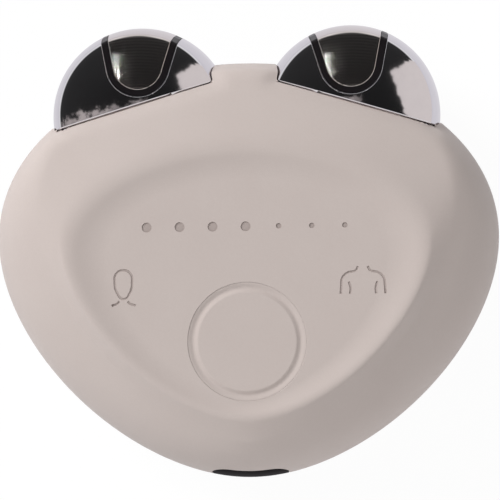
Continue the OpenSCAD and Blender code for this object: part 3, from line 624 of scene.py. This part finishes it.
def plate_cutter():
    """The charging plate's room in the skins, as wide as the plate and its gap."""
    sizes = [size + PLATE_GAP for size in (PLATE_X, PLATE_Z, PLATE_CORNER)]
    return prism(*sizes, -1, HUB_LENGTH)


BUTTON_R, GROOVE_WIDTH, GROOVE_DEPTH = 9.9, 1.0, 0.6
AT_BUTTON = Matrix.Translation(Vector((0, BUTTON_Y, 0)) * MM)
MOUTH, MOUTH_STEPS = 0.12, 8
hole_r = BUTTON_R + GROOVE_WIDTH
quarter = [math.pi / 2 * k / MOUTH_STEPS for k in range(MOUTH_STEPS + 1)]
mouth = [(hole_r + MOUTH - MOUTH * math.sin(a), DISH_Z - MOUTH + MOUTH * math.cos(a)) for a in quarter]
above = [(0, DISH_Z + 2), (hole_r + MOUTH, DISH_Z + 2)]
button_cutter = spun("cutter", above + mouth + [(hole_r, WAIST_Z), (0, WAIST_Z)], place=AT_BUTTON)


def waist_share(point):
    """The edge at the waist, where the two skins meet, is rounded only a little."""
    return WAIST_SHARE if abs(point.z - WAIST_Z) < ON_WAIST else 1


for piece in (front_skin, rear_skin):
    cut(piece, ear_cutters())
    soften(piece, SKIN_EDGE, angle=SKIN_ANGLE, share=waist_share)
    cut(piece, [plate_cutter()])
cut(front_skin, [button_cutter])
print("cut:", len(front_skin.data.polygons), len(rear_skin.data.polygons), "faces")

# %% [markdown]
# ## Pressed-in strokes
#
# The signs on the front are lines pressed about a fifth of a millimetre into the silicone. Each
# stroke is a thin tube along a curve, sunk into the face, and the skin is cut by it. A texture could
# draw them too, but a cut keeps its shadow in any light.

# %% Strokes
STROKE_R, STROKE_LIFT = 0.25, 0.06


def stroke(points, closed=False):
    """A thin tube through points of the dish floor, as a cutter."""
    curve = bpy.data.curves.new("stroke", "CURVE")
    curve.dimensions = "3D"
    curve.bevel_depth, curve.bevel_resolution, curve.use_fill_caps = STROKE_R * MM, 3, True
    spline = curve.splines.new("BEZIER")
    spline.bezier_points.add(len(points) - 1)
    for knot, (x, y) in zip(spline.bezier_points, points):
        knot.co = Vector((x, y, DISH_Z + STROKE_LIFT)) * MM
        knot.handle_left_type = knot.handle_right_type = "AUTO"
    spline.use_cyclic_u = closed
    spline.resolution_u = 8
    made = bpy.data.objects.new("stroke", curve)
    scene.collection.objects.link(made)
    seen = made.evaluated_get(bpy.context.evaluated_depsgraph_get())
    mesh = bpy.data.meshes.new_from_object(seen)
    bpy.data.objects.remove(made)
    bm = bmesh.new()
    bm.from_mesh(mesh)
    bmesh.ops.remove_doubles(bm, verts=bm.verts, dist=DOUBLE)
    return keep(bm, "cutter")


def joined(pieces):
    """One cutter of several that don't touch."""
    bm = bmesh.new()
    for piece in pieces:
        bm.from_mesh(piece.data)
        bpy.data.objects.remove(piece)
    return keep(bm, "cutter")


def moved(points, x, y):
    """A drawing's points, with its middle put at x, y."""
    return [(x + a, y + b) for a, b in points]


print("depth of the strokes:", round(STROKE_R - STROKE_LIFT, 2), "mm")

# %% [markdown]
# ## Signs and marks
#
# Two small signs say where the device is used, on the head and on the shoulders, and a row of four
# bold and three fine dots stands above the button. A stroke is too thin for a dot, so the dots are
# spun, as shallow round pits.

# %% Signs and marks
HEAD_AT, TORSO_AT = (-22.6, -6.0), (21.4, -5.3)
head = [(0, 2.9), (1.3, 2.3), (1.6, 0.6), (1.2, -1.2),
        (0, -2.4), (-1.2, -1.2), (-1.6, 0.6), (-1.3, 2.3)]
shoulders = [(0.8, -2.8), (1.1, -3.2), (2.2, -3.6)]
left_signs = [stroke(moved(head, *HEAD_AT), closed=True), stroke(moved(shoulders, *HEAD_AT)),
              stroke(moved([(-a, b) for a, b in shoulders], *HEAD_AT))]
side = [(0.9, 2.4), (1.3, 1.7), (2.9, 1.2), (3.8, 0.3), (4.0, -1.2), (4.1, -2.6)]
flank = [(2.6, -0.4), (2.3, -1.6), (2.4, -2.6)]
right_signs = [stroke(moved([(sign * a, b) for a, b in line], *TORSO_AT))
               for line in (side, flank) for sign in (1, -1)]
MARK_Y, MARK_FIRST, MARK_LAST = 4.7, -18.2, 18.2
MARK_SIZES, MARK_TURNS = [0.9] * 4 + [0.5] * 3, 48
marks = []
low = DISH_Z + STROKE_LIFT - STROKE_R
for k, r in enumerate(MARK_SIZES):
    x = MARK_FIRST + (MARK_LAST - MARK_FIRST) * k / (len(MARK_SIZES) - 1)
    at = Matrix.Translation(Vector((x, MARK_Y, 0)) * MM)
    shape = [(0, DISH_Z + 1), (r, DISH_Z + 1), (r, low), (0, low)]
    marks.append(spun("cutter", shape, MARK_TURNS, at))
cut(front_skin, [joined(left_signs + right_signs + marks)])
for piece, node in ((front_skin, "front_skin"), (rear_skin, "rear_skin")):
    even_out(piece)
    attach(piece, "root")
    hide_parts(node)
    print(piece.name, len(piece.data.polygons), "faces")

# %% [markdown]
# ## The button
#
# The button is part of the silicone front. A soft groove sets it off, and its thin floor lets it
# sink. It is spun from its profile, in which two swings of a cosine draw the groove.

# %% Button pad
PLUNGER_R, SKIRT, PAD_GAP, FACE_R, DIP, LIP = 9.2, 0.35, 0.02, 8.9, 0.42, 0.12
SWING_STEPS, PAD_ANGLE = 10, 50
skirt_z = DISH_Z - GROOVE_DEPTH - SKIRT
edge_r = hole_r - PAD_GAP


def swing(from_r, from_z, to_r, to_z):
    """A soft step from one (radius, height) to another, along half a wave of a cosine."""
    shares = [k / SWING_STEPS for k in range(SWING_STEPS + 1)]
    waves = [(u, (1 - math.cos(math.pi * u)) / 2) for u in shares]
    return [(from_r + (to_r - from_r) * u, from_z + (to_z - from_z) * w) for u, w in waves]


pad_profile = [(0, DISH_Z)] + swing(FACE_R, DISH_Z, BUTTON_R, DISH_Z - DIP)
pad_profile += swing(BUTTON_R, DISH_Z - DIP, edge_r, DISH_Z - LIP)
pad_profile += [(edge_r, skirt_z), (PLUNGER_R, skirt_z), (PLUNGER_R, pad_low.z), (0, pad_low.z)]
button = even_out(spun("button_pad_soft", pad_profile, place=AT_BUTTON), PAD_ANGLE)
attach(button, "button")
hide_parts("button_pad")
print("button", len(button.data.polygons), "faces")

# %% [markdown]
# ## The charging plate
#
# A plate closes the end of the body round the charging jack. Its face follows the body, so it is what
# the body and a rounded bar have in common, made hollow, with the hub and the jack's hole.

# %% Charging plate
PLATE_T, SLEEVE_R, FIT_GAP, PLATE_EDGE, HUB_TURNS = 1.45, 2.0, 0.02, 0.08, 120


def whole_body(name, depth):
    """The closed body at a depth below its surface."""
    return loft(name, [(row, depth) for row in rear_run[:0:-1]] + [(row, depth) for row in front_run])


def along_y(radius, first, last):
    """A cylinder on the jack's axis, between two distances from the charging end."""
    start, length = Vector((0, TIP_Y + first, WAIST_Z)) * MM, last - first
    place = Matrix.Translation(start) @ Matrix.Rotation(-math.pi / 2, 4, "X")
    return spun("cutter", [(0, length), (radius, length), (radius, 0), (0, 0)], HUB_TURNS, place)


plate = whole_body("charge_plate_gloss", 0)
cut(plate, [prism(PLATE_X, PLATE_Z, PLATE_CORNER, -1, HUB_LENGTH)], "INTERSECT")
cut(plate, [whole_body("cutter", PLATE_T)])
cut(plate, [along_y(HUB_R, PLATE_T / 2, HUB_LENGTH)], "UNION")
cut(plate, [along_y(SLEEVE_R + FIT_GAP, -1, HUB_LENGTH + 1)])
soften(plate, PLATE_EDGE, 2, 40)
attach(plate, "root")
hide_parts("charge_plate")
print("plate", len(plate.data.polygons), "faces")

# %% [markdown]
# ## Writing materials
#
# A material is written as short expressions. `Finish` adds any node with one method. `Tone` stands for
# a number that comes out of a node, and its operators add the Math nodes.

# %% Numbers over a surface
class Tone:
    """A number that varies over a surface."""

    def __init__(self, finish, socket):
        self.finish, self.socket = finish, socket

    def __add__(self, other):
        return self.finish.math("ADD", self, other)

    def __sub__(self, other):
        return self.finish.math("SUBTRACT", self, other)

    def __rsub__(self, other):
        return self.finish.math("SUBTRACT", other, self)

    def __mul__(self, other):
        return self.finish.math("MULTIPLY", self, other)

    __radd__, __rmul__ = __add__, __mul__


def socket_of(sockets, key):
    """The socket with that identifier, or else with that name or number."""
    named = [socket for socket in sockets if socket.identifier == key]
    return named[0] if named else sockets[key]


def fill_ramp(ramp, stops):
    """Sets a ramp's stops, each a position with a brightness or a colour."""
    while len(ramp.elements) < len(stops):
        ramp.elements.new(1.0)
    for element, (position, value) in zip(ramp.elements, stops):
        element.position = position
        element.color = value if isinstance(value, tuple) else (value, value, value, 1)


def srgb(*levels):
    """A colour given as screen levels from 0 to 255."""
    linear = (((c / 255 + 0.055) / 1.055) ** 2.4 if c > 10 else c / 255 / 12.92 for c in levels)
    return tuple(linear) + (1.0,)


print("a screen level of 128 is", round(srgb(128)[0], 3), "in light")

# %% [markdown]
# ## A material in the making
#
# Every material starts with an empty tree and the piece's own coordinates, so that no pattern slides
# when the piece moves. Noise, ramps, mixes and bumps each have a short method, and `surface` ends the
# tree with one shader.

# %% Finish
class Finish:
    """A material in the making."""

    def __init__(self, name):
        self.material = bpy.data.materials.new(name)
        self.material.use_nodes = True
        self.tree = self.material.node_tree
        self.tree.nodes.clear()
        self.place = self.add("ShaderNodeTexCoord", out="Object")

    def add(self, kind, settings=None, inputs=None, out=0):
        """Puts in a node, sets it and fills its sockets, and gives back its output."""
        node = self.tree.nodes.new(kind)
        for key, value in (settings or {}).items():
            if key == "stops":
                fill_ramp(node.color_ramp, value)
            else:
                setattr(node, key, value)
        for key, value in (inputs or {}).items():
            socket = socket_of(node.inputs, key)
            if isinstance(value, Tone):
                self.tree.links.new(value.socket, socket)
            else:
                socket.default_value = value
        return Tone(self, socket_of(node.outputs, out)) if node.outputs else None

    def math(self, operation, first, second):
        """A Math node on two numbers."""
        return self.add("ShaderNodeMath", {"operation": operation}, {0: first, 1: second})

    def noise(self, size, detail=2.0, rough=0.5):
        """Soft noise with features of about that size in millimetres."""
        inputs = {"Vector": self.place, "Scale": 1 / (size * MM), "Detail": detail, "Roughness": rough}
        return self.add("ShaderNodeTexNoise", None, inputs)

    def ramp(self, value, *stops):
        """A ramp through (position, brightness) stops."""
        return self.add("ShaderNodeValToRGB", {"stops": stops}, {"Fac": value})

    def blend(self, share, first, second):
        """A mix of two colours."""
        inputs = {"Factor_Float": share, "A_Color": first, "B_Color": second}
        return self.add("ShaderNodeMix", {"data_type": "RGBA"}, inputs, out="Result_Color")

    def bump(self, height, depth, normal=None):
        """A bump whose height of 1 is that many millimetres."""
        inputs = {"Height": height, "Distance": depth * MM}
        if normal:
            inputs["Normal"] = normal
        return self.add("ShaderNodeBump", None, inputs)

    def surface(self, **inputs):
        """The shader at the end, with its sockets named in words."""
        filled = {key.replace("_", " "): value for key, value in inputs.items()}
        shader = self.add("ShaderNodeBsdfPrincipled", None, filled)
        self.add("ShaderNodeOutputMaterial", None, {"Surface": shader})
        return self.material


print("materials so far:", len(bpy.data.materials))

# %% [markdown]
# ## Silicone
#
# Moulded silicone is matt and even, but never one flat colour: it has a very faint mottling, a fine
# grain that catches the light, and a soft bloom along its edges. A wide noise mixes two near colours,
# a fine one adds specks and uneven gloss, and two more raise the grain. What lies pressed in below
# the dish floor is painted darker, as painted shade in the grooves.

# %% Silicone finish
SIGNS_X, SIGNS_Y, SIGNS_FROM_BUTTON, SIGNS_TOP = 27.0, (-11.0, 7.0), 11.5, 0.02


def axis_of(finish, vector, axis):
    """One of a vector's three numbers."""
    return finish.add("ShaderNodeSeparateXYZ", None, {0: vector}, out=axis)


def painted_sign_shade(finish):
    """One in the signs pressed in below the dish floor above the button, where shade is painted, and
    zero elsewhere.
    """
    across, along, up = (axis_of(finish, finish.place, axis) for axis in "XYZ")
    from_button = along - BUTTON_Y * MM
    mask = finish.math("LESS_THAN", up, (DISH_Z - SIGNS_TOP) * MM)
    mask *= finish.math("GREATER_THAN", up, (DISH_Z - STROKE_R) * MM)
    mask *= finish.math("LESS_THAN", across * across, (SIGNS_X * MM) ** 2)
    mask *= finish.math("GREATER_THAN", along, SIGNS_Y[0] * MM)
    mask *= finish.math("LESS_THAN", along, SIGNS_Y[1] * MM)
    distance = across * across + from_button * from_button
    return mask * finish.math("GREATER_THAN", distance, (SIGNS_FROM_BUTTON * MM) ** 2)


def silicone_finish():
    """Matt silicone with faint clouds, a fine grain and painted shade in the signs."""
    finish = Finish("silicone")
    cloud = finish.noise(9, 3)
    grain = finish.noise(0.35, 2)
    tone = finish.blend(cloud, srgb(196, 184, 179), srgb(201, 190, 185))
    tone = finish.blend(grain * 0.35, tone, srgb(186, 173, 168))
    # The grooves of the signs and dots are painted darker, as painted shade.
    tone = finish.blend(0.35 * painted_sign_shade(finish), tone, srgb(112, 96, 92))
    rough = 0.56 + 0.1 * grain
    normal = finish.bump(finish.noise(0.22, 2), 0.012)
    normal = finish.bump(finish.noise(1.4, 1), 0.01, normal)
    return finish.surface(Base_Color=tone, Roughness=rough, Normal=normal,
                          Sheen_Weight=0.12, Sheen_Roughness=0.5, IOR=1.42)


silicone = silicone_finish()
print("silicone nodes:", len(silicone.node_tree.nodes))

# %% [markdown]
# ## Chrome
#
# The shells are polished and plated. A faint haze of handling varies the roughness. The tongues are
# plated too, but their facets are machined in fine arcs, which a ring wave draws round a point below
# each tongue, and their rims are left smooth. The same arcs also darken the colour in rings, as a
# painted reflection.

# %% Chrome finishes
SIDES, OUT_OF_TRUE = {-1: "left", 1: "right"}, 0.025
WAVE, ARC_STEP, ARC_BELOW, FACET_EDGE = 0.314, 0.57, 14, 0.1


def leaning(finish, side):
    """A normal that leans towards the centre line by a degree and a half, as polishing leaves it."""
    return finish.bump(axis_of(finish, finish.place, "X") * (side * OUT_OF_TRUE), 1 / MM)


def chrome_finish(side):
    """Polished chrome with a faint haze."""
    finish = Finish("chrome_" + SIDES[side])
    haze = finish.noise(4, 4, 0.6)
    tone = finish.blend(haze, srgb(226, 224, 228), srgb(214, 212, 217))
    rough = 0.03 + 0.03 * haze
    normal = finish.bump(finish.noise(6, 1), 0.01, leaning(finish, side))
    return finish.surface(Base_Color=tone, Roughness=rough, Metallic=1.0, Normal=normal)


def tongue_finish(side):
    """Chrome with fine machined arcs on its facets in the bump, and a painted reflection of rings in the
    colour.
    """
    finish = Finish("tongue_chrome_" + SIDES[side])
    centre = Vector((side * abs(EAR_X), EAR_Y - ARC_BELOW, WAIST_Z)) * MM
    local = finish.add("ShaderNodeMapping", {"vector_type": "TEXTURE"},
                       {"Vector": finish.place, "Location": centre})
    rings = {"wave_type": "RINGS", "rings_direction": "Z", "wave_profile": "SIN"}
    arcs = finish.add("ShaderNodeTexWave", rings, {"Vector": local, "Scale": WAVE / (ARC_STEP * MM),
                                                   "Distortion": 0.0, "Detail": 0.0}, out="Fac")
    height = finish.math("ABSOLUTE", axis_of(finish, finish.place, "Z") - WAIST_Z * MM, 0.0)
    arcs *= finish.math("GREATER_THAN", height, (EAR_HALF - FACET_EDGE) * MM)
    patches = 0.75 * arcs + 0.25 * finish.noise(4, 4, 0.6)
    # The arcs darken the colour in rings, as a painted reflection; in the bump they are machined arcs.
    tone = finish.blend(patches, srgb(222, 215, 213), srgb(200, 193, 190))
    normal = finish.bump(arcs, 0.005, leaning(finish, side))
    return finish.surface(Base_Color=tone, Roughness=0.07 + 0.05 * arcs, Metallic=1.0, Normal=normal)


chromes = {side: chrome_finish(side) for side in SIDES}
tongues = {side: tongue_finish(side) for side in SIDES}
print("chromed finishes:", len(chromes) + len(tongues))

# %% [markdown]
# ## The plain finishes
#
# Most inner parts are moulded plastic, rubber or plain metal. They share one recipe: two near colours
# mixed by a noise, a roughness that follows a finer noise, and a shallow grain.

# %% Plain finishes
def plain_finish(name, first, second, rough, spread=0.15, size=3.0, depth=0.01, metal=0.0, **more):
    """Two near colours in patches of that size, with grain and uneven gloss."""
    finish = Finish(name)
    patches = finish.noise(size, 3)
    fine = finish.noise(0.2, 2)
    tone = finish.blend(patches, srgb(*first), srgb(*second))
    gloss = rough - spread / 2 + spread * fine
    normal = finish.bump(fine, depth)
    return finish.surface(Base_Color=tone, Roughness=gloss, Metallic=metal, Normal=normal, **more)


recipes = {
    "band_black": ((20, 18, 20), (30, 27, 29), 0.3,
                   dict(spread=0.1, depth=0.003, Specular_IOR_Level=0.12)),
    "plate_black": ((13, 10, 10), (20, 16, 16), 0.5,
                    dict(spread=0.08, depth=0.002, Specular_IOR_Level=0.02)),
    "seal_rubber": ((30, 30, 31), (42, 41, 42), 0.75, dict(depth=0.02)),
    "housing_plastic": ((138, 140, 145), (150, 152, 156), 0.5, {}),
    "chip_epoxy": ((30, 31, 33), (44, 45, 48), 0.6, dict(depth=0.02)),
    "coil_ferrite": ((70, 64, 60), (92, 84, 78), 0.7, dict(size=1.0, depth=0.02)),
    "lens_white": ((240, 236, 215), (248, 245, 230), 0.3, {}),
    "clear_plastic": ((232, 238, 242), (244, 247, 249), 0.1, dict(spread=0.05, Transmission_Weight=0.8)),
    "socket_nylon": ((228, 224, 210), (238, 235, 224), 0.45, {}),
    "battery_foil": ((186, 189, 194), (206, 208, 212), 0.35, dict(size=5.0, metal=0.7)),
    "steel_parts": ((165, 168, 173), (186, 188, 192), 0.28, dict(metal=1.0)),
    "brass_parts": ((196, 160, 84), (212, 178, 104), 0.25, dict(metal=1.0)),
    "weight_metal": ((112, 114, 118), (132, 134, 138), 0.4, dict(metal=1.0)),
    "wire_sleeve": ((170, 44, 38), (188, 56, 48), 0.45, {}),
}
finishes = {"soft_silicone": silicone, "ear_chrome": chromes[-1]}
for name, (first, second, rough, more) in recipes.items():
    finishes[name] = plain_finish(name, first, second, rough, **more)
print("finishes:", len(finishes))

# %% [markdown]
# ## Board and winding
#
# The circuit board is green lacquer over copper tracks, which stand out a little. A brick pattern
# gives tracks that run and turn at right angles. The motor's winding is copper wire laid in rings
# round the shaft, so a band wave along the axis draws it.

# %% Board and winding finishes
TRACK_FIELD, WIRE_STEP = 9, 0.3


def board_finish():
    """Green lacquer over tracks that stand out a little."""
    finish = Finish("board_laminate")
    sizes = {"Scale": 1 / (TRACK_FIELD * MM), "Mortar Size": 0.02, "Mortar Smooth": 0.3}
    tracks = finish.add("ShaderNodeTexBrick", {"offset": 0.37, "squash": 0.6},
                        {"Vector": finish.place, **sizes}, out="Fac")
    patches = finish.noise(3, 3)
    lacquer = finish.blend(patches, srgb(24, 84, 54), srgb(32, 98, 64))
    tone = finish.blend(tracks, lacquer, srgb(62, 128, 82))
    normal = finish.bump(tracks, 0.04)
    return finish.surface(Base_Color=tone, Roughness=0.3 + 0.1 * patches, Normal=normal)


def winding_finish():
    """Copper wire in rings round the shaft, painted darker between the turns as painted shade."""
    finish = Finish("copper_winding")
    bands = {"wave_type": "BANDS", "bands_direction": "X", "wave_profile": "SIN"}
    sizes = {"Scale": WAVE / (WIRE_STEP * MM), "Distortion": 0.4, "Detail": 1.0}
    turns = finish.add("ShaderNodeTexWave", bands, {"Vector": finish.place, **sizes}, out="Fac")
    # The colour is darker where the wave is low, between the turns: painted shade in the grooves.
    tone = finish.blend(turns, srgb(118, 66, 38), srgb(196, 120, 74))
    normal = finish.bump(turns, 0.06)
    return finish.surface(Base_Color=tone, Roughness=0.3 + 0.1 * turns, Metallic=1.0, Normal=normal)


finishes["board_laminate"] = board_finish()
finishes["copper_winding"] = winding_finish()
print("finishes:", len(finishes))

# %% [markdown]
# ## Putting the finishes on
#
# The new pieces get theirs here. A CAD node keeps its mesh, and only the material in its slot changes:
# the slot's name says which finish it asks for.

# %% Finishes on the pieces
own_pieces = {front_skin: silicone, rear_skin: silicone, button: silicone,
              plate: finishes["plate_black"], left_shell: chromes[-1], right_shell: chromes[1],
              left_tongue: tongues[-1], right_tongue: tongues[1]}
for piece, finish in own_pieces.items():
    piece.data.materials.clear()
    piece.data.materials.append(finish)
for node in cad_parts.values():
    for slot in node.material_slots:
        slot.material = finishes[slot.material.name.split(".")[0]]
print("nodes finished:", len(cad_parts))

# %% [markdown]
# ## Floor
#
# The device lies on its back on a white floor. The camera and polished metal see the floor nearly
# white, and all other light sees a matt surface, which keeps the device's shadow.

# %% Floor
FLOOR_SIZE = 3.0


def floor_finish():
    """Matt white that glows a little for the camera and for mirrors."""
    finish = Finish("floor_white")
    path = finish.add("ShaderNodeLightPath", out="Is Camera Ray")
    mirror = finish.add("ShaderNodeLightPath", out="Is Glossy Ray")
    patches = finish.noise(60, 2)
    tone = finish.blend(patches, (0.84, 0.84, 0.84, 1), (0.8, 0.8, 0.8, 1))
    matt = finish.add("ShaderNodeBsdfDiffuse", None, {"Color": tone})
    shine = finish.blend(mirror, (1, 1, 1, 1), (0.74, 0.72, 0.76, 1))
    glow = finish.add("ShaderNodeEmission", None, {"Color": shine, "Strength": 1.02})
    mixed = finish.add("ShaderNodeMixShader", None, {0: 0.93 * path + 0.9 * mirror, 1: matt, 2: glow})
    finish.add("ShaderNodeOutputMaterial", None, {"Surface": mixed})
    return finish.material


bm = bmesh.new()
bmesh.ops.create_grid(bm, x_segments=4, y_segments=4, size=FLOOR_SIZE / 2)
floor = keep(bm, "floor")
floor.data.materials.append(floor_finish())
print("floor", FLOOR_SIZE, "m wide")

# %% [markdown]
# ## The room
#
# The room gives an even soft light, and the camera sees it as plain white. Polished metal mirrors
# another room: dark overhead and bright at the sides, which is what makes the ears read as chrome. A
# pale card stands at the right, a mottled cloth hangs at the left, and the wall at the charging end
# is bright. All of them are masks on the direction of the mirrored ray.

# %% World
SOFT_LIGHT, MASK_EDGE = 0.42, 0.004
CARD, CLOTH_DARK, CLOTH_PALE = (0.8, 0.74, 0.71, 1), (0.1, 0.09, 0.09, 1), (0.52, 0.47, 0.45, 1)
NEAR_SIDE = (0.95, 0.93, 0.92, 1)
world = bpy.data.worlds.new("room")
scene.world = world
world.use_nodes = True
sky = Finish.__new__(Finish)
sky.tree = world.node_tree
sky.tree.nodes.clear()
toward = sky.add("ShaderNodeTexCoord", out="Generated")
across, along, up = (axis_of(sky, toward, axis) for axis in "XYZ")


def sky_noise(scale, detail, rough):
    """Noise over the directions of the room."""
    inputs = {"Vector": toward, "Scale": scale, "Detail": detail, "Roughness": rough}
    return sky.add("ShaderNodeTexNoise", None, inputs)


def inside(value):
    """One where the value is positive and zero elsewhere, with a soft edge."""
    inputs = {"Value": value, "From Min": -MASK_EDGE, "From Max": MASK_EDGE}
    return sky.add("ShaderNodeMapRange", None, inputs)


def background(color, strength):
    """A light that comes from all round."""
    return sky.add("ShaderNodeBackground", None, {"Color": color, "Strength": strength})


ragged = 0.05 * sky_noise(22.0, 4.0, 0.7)
walls = sky.ramp(up, (0.0, 0.93), (0.5, 0.9), (0.72, 0.5), (0.84, 0.04), (1.0, 0.013))
card = inside(0.115 - along + 0.7 * across + ragged) * inside(across + 0.33 * along - 0.275 + ragged)
apron = inside(0.25 * across - along + 5.0 * ragged + 0.015) * inside(0.02 - across)
cloth = sky.ramp(sky_noise(9.0, 3.0, 0.6), (0.38, CLOTH_DARK), (0.62, CLOTH_PALE))
room = sky.blend(apron, walls, cloth)
room = sky.blend(card, room, CARD)
room = sky.blend(inside(-0.12 - along), room, NEAR_SIDE)
camera_ray = sky.add("ShaderNodeLightPath", out="Is Camera Ray")
glossy_ray = sky.add("ShaderNodeLightPath", out="Is Glossy Ray")
soft, seen = background((1, 1, 1, 1), SOFT_LIGHT), background((1, 1, 1, 1), 1.0)
light = sky.add("ShaderNodeMixShader", None, {0: glossy_ray, 1: soft, 2: background(room, 1.0)})
light = sky.add("ShaderNodeMixShader", None, {0: camera_ray, 1: light, 2: seen})
sky.add("ShaderNodeOutputWorld", None, {"Surface": light})
print("world nodes:", len(sky.tree.nodes))

# %% [markdown]
# ## Lamps
#
# A large area lamp models the soft form from the upper left, and a weaker one fills the shade at the
# charging end. Neither shows in the metal. A small bright one, high above, gives each ear its sharp
# glint.

# %% Lamps
TARGET = Vector((0, 0, 20)) * MM


def lamp(name, place, size, power, seen_in_metal=True):
    """A square area lamp that points at the device. Its place is in millimetres."""
    data = bpy.data.lights.new(name, "AREA")
    data.size, data.energy = size * MM, power
    made = bpy.data.objects.new(name, data)
    made.location = Vector(place) * MM
    made.rotation_euler = (TARGET - made.location).to_track_quat("-Z", "Y").to_euler()
    made.visible_glossy = seen_in_metal
    scene.collection.objects.link(made)


lamp("key", (-900, 750, 800), 600, 16.5, False)
lamp("fill", (350, -950, 500), 600, 3.2, False)
lamp("glint", (-470, 980, 3100), 16, 0.25)
print("lamps:", len(bpy.data.lights))

# %% [markdown]
# ## Camera
#
# The camera looks straight down at the front from well above, with a long lens. It is turned a little
# about its own axes, and a small shift puts the device at its place in the picture.

# %% Camera
PICTURE, SENSOR, FOCAL_PX, DISTANCE = 500, 36.0, 2256.0, 430.0
CENTRE_PX, CENTRE_PY = 248.74, 260.06
yaw, roll = math.radians(-1.78), math.radians(0.74)
turned = Matrix.Rotation(roll, 3, "Z") @ Matrix.Rotation(yaw, 3, "Y")
camera_data = bpy.data.cameras.new("camera")
camera_data.sensor_width, camera_data.lens = SENSOR, FOCAL_PX * SENSOR / PICTURE
camera_data.shift_x = (PICTURE / 2 - CENTRE_PX) / PICTURE
camera_data.shift_y = (CENTRE_PY - PICTURE / 2) / PICTURE
camera_data.clip_start, camera_data.clip_end = 0.01, 10.0
camera = bpy.data.objects.new("camera", camera_data)
aim = Vector((0, MIDDLE_Y, WAIST_Z)) + turned.transposed() @ Vector((0, 0, DISTANCE))
camera.matrix_world = Matrix.Translation(aim * MM) @ turned.transposed().to_4x4()
scene.collection.objects.link(camera)
scene.camera = camera
print("lens", round(camera_data.lens, 2), "mm")

# %% Count of the new pieces
print("pieces:", len(own_pieces))
